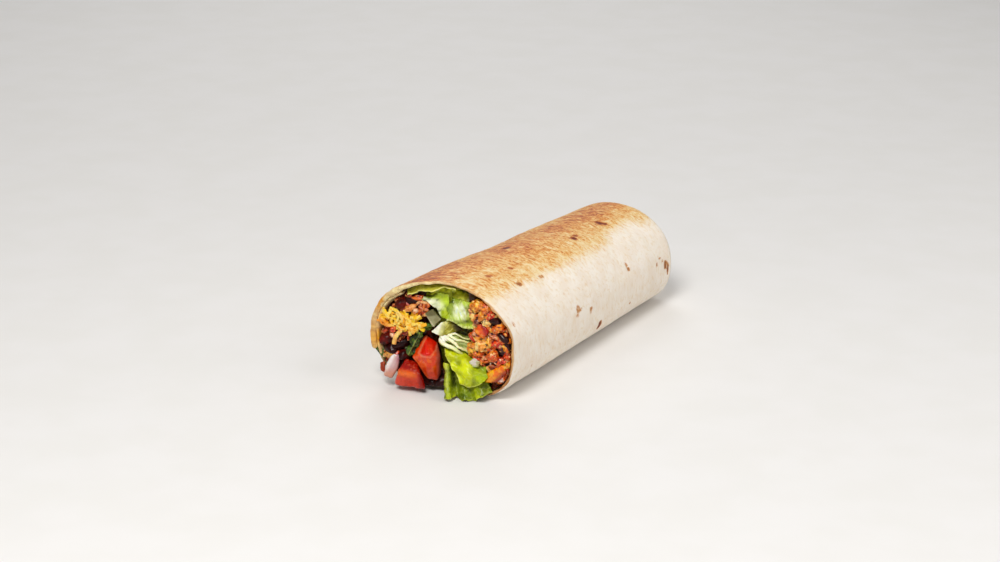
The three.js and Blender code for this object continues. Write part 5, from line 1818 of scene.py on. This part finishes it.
# What shows of the meat and rice, as (across, up, depth, length, width, turn in degrees, tone).
MEAT = [
    (18.5, 45.0, 2.6, 7.0, 5.4, 20, "straw"), (22.6, 44.6, 3.0, 6.0, 5.6, 80, "orange"),
    (26.2, 44.6, 4.0, 5.6, 4.4, -30, "red"), (15.8, 42.8, 2.6, 3.6, 3.0, 0, "rose"),
    (16.4, 40.0, 2.4, 4.2, 3.8, 60, "cream"), (20.6, 41.4, 1.8, 6.8, 4.0, 80, "straw"),
    (24.2, 41.6, 2.8, 5.4, 4.6, 20, "red"), (28.6, 42.6, 4.4, 4.8, 4.0, -50, "brown"),
    (18.2, 38.0, 3.0, 5.0, 3.2, 0, "brown"), (22.2, 37.4, 1.6, 4.8, 3.8, -20, "cream"),
    (28.0, 36.2, 1.6, 7.4, 4.2, 38, "orange"), (24.8, 35.0, 2.0, 4.6, 3.6, 10, "straw"),
    (31.2, 35.2, 3.0, 3.2, 3.2, 0, "rose"), (16.6, 32.0, 1.6, 2.8, 3.0, 0, "rose"),
    (25.2, 31.8, 1.2, 6.0, 1.8, -16, "rose"), (18.0, 29.8, 1.6, 3.6, 3.4, 30, "cream"),
    (27.0, 28.4, 1.8, 5.4, 4.4, 10, "red"), (23.4, 28.4, 1.4, 5.0, 3.6, -55, "straw"),
    (19.6, 26.6, 1.0, 6.4, 5.4, 60, "cream"), (15.6, 24.6, 1.0, 5.8, 4.6, 30, "straw"),
    (22.6, 25.2, 2.0, 4.4, 4.6, 80, "orange"), (31.6, 27.2, 2.4, 4.6, 4.0, 70, "straw"),
    (17.4, 22.4, 1.2, 5.6, 3.6, -10, "orange"), (16.8, 20.0, 1.2, 4.2, 3.4, 20, "red"),
    (19.0, 18.4, 1.4, 3.6, 2.8, 40, "orange"), (20.6, 20.4, 1.4, 3.4, 1.8, 40, "rose"),
    (24.4, 21.8, 0.8, 6.0, 5.0, 20, "orange"), (31.0, 23.0, 2.4, 5.0, 3.8, 70, "red"),
    (28.4, 20.4, 1.6, 5.4, 3.2, -15, "red"), (25.6, 19.2, 0.8, 3.6, 1.8, -40, "rose"),
    (27.4, 18.6, 1.2, 4.6, 3.0, 70, "orange"), (24.2, 17.0, 1.2, 4.2, 3.0, -30, "brown"),
    (30.8, 18.2, 1.8, 4.6, 3.0, 15, "straw"), (22.8, 15.6, 1.6, 3.8, 2.6, 0, "cream"),
    (29.4, 15.4, 1.8, 4.0, 2.8, 60, "red"), (31.6, 14.6, 2.2, 3.2, 3.4, 80, "rose"),
    (28.0, 11.4, 1.2, 4.4, 3.2, -30, "white"), (30.2, 12.6, 2.2, 3.2, 2.6, 0, "brown"),
    (21.4, 33.0, 2.6, 3.6, 3.6, 0, "brown"), (29.2, 25.2, 2.6, 4.6, 3.6, 0, "dark"),
    (22.4, 47.0, 4.4, 5.0, 3.0, 10, "brown"), (30.2, 39.0, 4.0, 3.8, 3.4, -40, "orange"),
]
MEAT_SCALE = 1.08  # makes the lumps meet

# Black beans in it, as (across, up, depth, length, width, turn in degrees).
MEAT_BEANS = [
    (26.6, 39.0, 1.8, 6.0, 4.0, 0), (29.8, 31.6, 2.0, 6.2, 4.2, -35),
    (31.6, 28.4, 2.8, 5.2, 3.6, -60), (28.6, 24.6, 3.2, 5.0, 3.6, -20),
]
# The first six also colour the finer lumps between them.
TONES = {
    "straw": ((226, 122, 8), (255, 190, 50)),
    "orange": ((218, 78, 2), (254, 146, 20)),
    "red": ((186, 18, 2), (240, 72, 12)),
    "brown": ((112, 20, 6), (192, 60, 12)),
    "cream": ((236, 146, 44), (255, 220, 130)),
    "rose": ((212, 106, 62), (250, 190, 146)),
    "white": ((222, 164, 144), (250, 222, 210)),
    "dark": ((64, 8, 4), (140, 30, 8)),
}
MEAT_OUTLINE = [
    (16.4, 45), (22.3, 48), (26.6, 45.4), (30.6, 39.4), (33.4, 31.3), (34, 22), (32.6, 13.4),
    (29.4, 9.4), (25, 9), (22, 15.6), (14, 20.4), (13.2, 28), (16.2, 32),
]


def make_meat_filling():
    random = np.random.default_rng(9)
    core = core_shape(salad_right, None, bed_depth=4.5, relief=1.1, size=3.6, seed=55)
    tint = painted(
        (92, 26, 12),
        ((168, 66, 26), rise(rough(core[0], 2.2, 56), -0.3, 0.6)),
        # Darker near the top, under the rim: painted shade.
        ((70, 34, 8), rise(core[0][:, 2], 39, 43)),
    )
    sauce = skin_of_food("meat_sauce")
    add_piece("meat_sauce_core", core, sauce, "meat_rice", "meat_rice_filling", tint=tint)

    lumps, tones = [], []
    for i, (*spot, length, width, turn, tone) in enumerate(MEAT):
        size = MEAT_SCALE * length, MEAT_SCALE * width
        lumps.append(crumb_lump(spot, *size, math.radians(turn), 400 + 7 * i))
        tones.append(TONES[tone])
    finer = list(TONES.values())[:6]
    for across, up in scattered(MEAT_OUTLINE, 74, random, 2.5):
        tones.append(finer[random.choice(6, p=[0.24, 0.3, 0.2, 0.1, 0.1, 0.06])])
        size = random.uniform(2.6, 5.0)
        spot = (across, up, random.uniform(1.4, 4.2))
        turn = random.uniform(0, 3)
        lumps.append(crumb_lump(spot, size, size * 0.7, turn, 800 + len(lumps)))
    # The colours of its painted shade in the crevices and of its painted highlights.
    shape, tint = grown_heap(lumps, tones, (50, 6, 0), (255, 206, 130), 420, 0.26)
    add_piece("meat_heap", shape, skin_of_food("meat_lump"), "meat_rice", tint=tint)

    grains = []
    colours = [RICE_ORANGE, RICE_PALE, RICE_RED]
    for across, up in scattered(MEAT_OUTLINE, 30, random, 3.0):
        turns = grain_turns(random)
        colour = colours[random.choice(3, p=[0.5, 0.2, 0.3])]
        spot = (across, up, random.uniform(0.6, 1.6))
        size = random.uniform(3.6, 5.2), random.uniform(1.3, 1.8)
        grains.append(rice_grain(spot, *size, turns, colour, len(grains)))
    add_pile("meat_rice_grains", grains, skin_of_food("spiced_rice"), "meat_rice")

    beans = []
    for i, (across, up, depth, length, width, turn) in enumerate(MEAT_BEANS):
        turns = (0, -math.radians(turn), QUARTER)
        beans.append(bean((across, up, depth - 0.6), length, width, turns, BEAN_BLACK, 70 + i))
    add_pile("meat_side_beans", beans, skin_of_food("black_bean_skin"), "meat_rice")


def make_salad_filling():
    core = core_shape(salad_left, salad_right, bed_depth=11, relief=1.6, size=5.0, seed=57)
    # Dark greens: the lettuce deep in the roll, darkened as painted shade.
    shade = rise(rough(core[0], 3.2, 58), -0.4, 0.5)
    tint = painted((70, 70, 4), ((140, 144, 18), shade))
    look = leaf_material("salad_leaf")
    add_piece("salad_core", core, look, "lettuce", "salad_filling", tint=tint)


# ---------------------------------------------------------------------------------------------
# Floor, light and camera

AZIMUTH, ELEVATION = math.radians(31.357), math.radians(19)
CAMERA_PLACE = (0.502576, -0.862657, 0.371557)
LENS, SENSOR = 80.0, 36.0
FLOOR_REACH = 4.0
FLOOR_DROP = 0.00005  # keeps the floor just clear of the base
AMBIENT = 0.26


def facing(direction):
    """The rotation of a lamp or camera that looks in a direction."""
    return direction.to_track_quat("-Z", "Y")


def make_floor():
    far = FLOOR_REACH
    mesh = bpy.data.meshes.new("floor")
    corners = [(-far, -far, 0), (far, -far, 0), (far, far, 0), (-far, far, 0)]
    mesh.from_pydata(corners, [], [(0, 1, 2, 3)])
    shader = Shader("floor_paint", Specular_IOR_Level=0.2)
    grain = shader.range(shader.noise(shader.place(), 30, 2.0), 0.3, 0.7)
    paint = shader.mix(grain, (231, 229, 226), (233, 231, 229))
    mesh.materials.append(shader.finish(paint, 0.7))
    plane = link("floor", mesh)
    plane.location.z = -FLOOR_DROP


def make_lamp(name, place, target, size, power, colour=(1, 1, 1)):
    light = bpy.data.lights.new(name, "AREA")
    light.shape = "DISK"
    light.size = size
    light.energy = power
    light.color = colour
    made = link(name, light)
    made.location = place
    made.rotation_euler = facing(Vector(target) - Vector(place)).to_euler()


def make_studio():
    make_floor()
    make_lamp("key", (0.2, -0.8, 0.95), (0, -0.03, 0.03), 0.5, 10.8, (1.0, 0.985, 0.96))
    make_lamp("side", (1.0, 0.1, 0.75), (0, 0, 0.02), 0.7, 3.8)
    make_lamp("back", (-0.6, 0.8, 0.9), (0, 0, 0.03), 0.7, 4.2)

    world = bpy.data.worlds.new("studio")
    world.use_nodes = True
    background = world.node_tree.nodes["Background"]
    background.inputs["Color"].default_value = (1, 1, 1, 1)
    background.inputs["Strength"].default_value = AMBIENT
    bpy.context.scene.world = world
    bpy.context.scene.view_settings.view_transform = "Standard"

    camera = bpy.data.cameras.new("camera")
    camera.lens = LENS
    camera.sensor_width = SENSOR
    camera.clip_end = 20
    level = math.cos(ELEVATION)
    back = (math.sin(AZIMUTH) * level, -math.cos(AZIMUTH) * level, math.sin(ELEVATION))
    seen = link("camera", camera)
    seen.location = CAMERA_PLACE
    seen.rotation_mode = "QUATERNION"
    seen.rotation_quaternion = facing(-Vector(back))
    bpy.context.scene.camera = seen


make_tortilla()
make_leaves()
make_cuts()
make_lettuce_shreds()
make_cheese()
make_bean_filling()
make_meat_filling()
make_salad_filling()
make_studio()
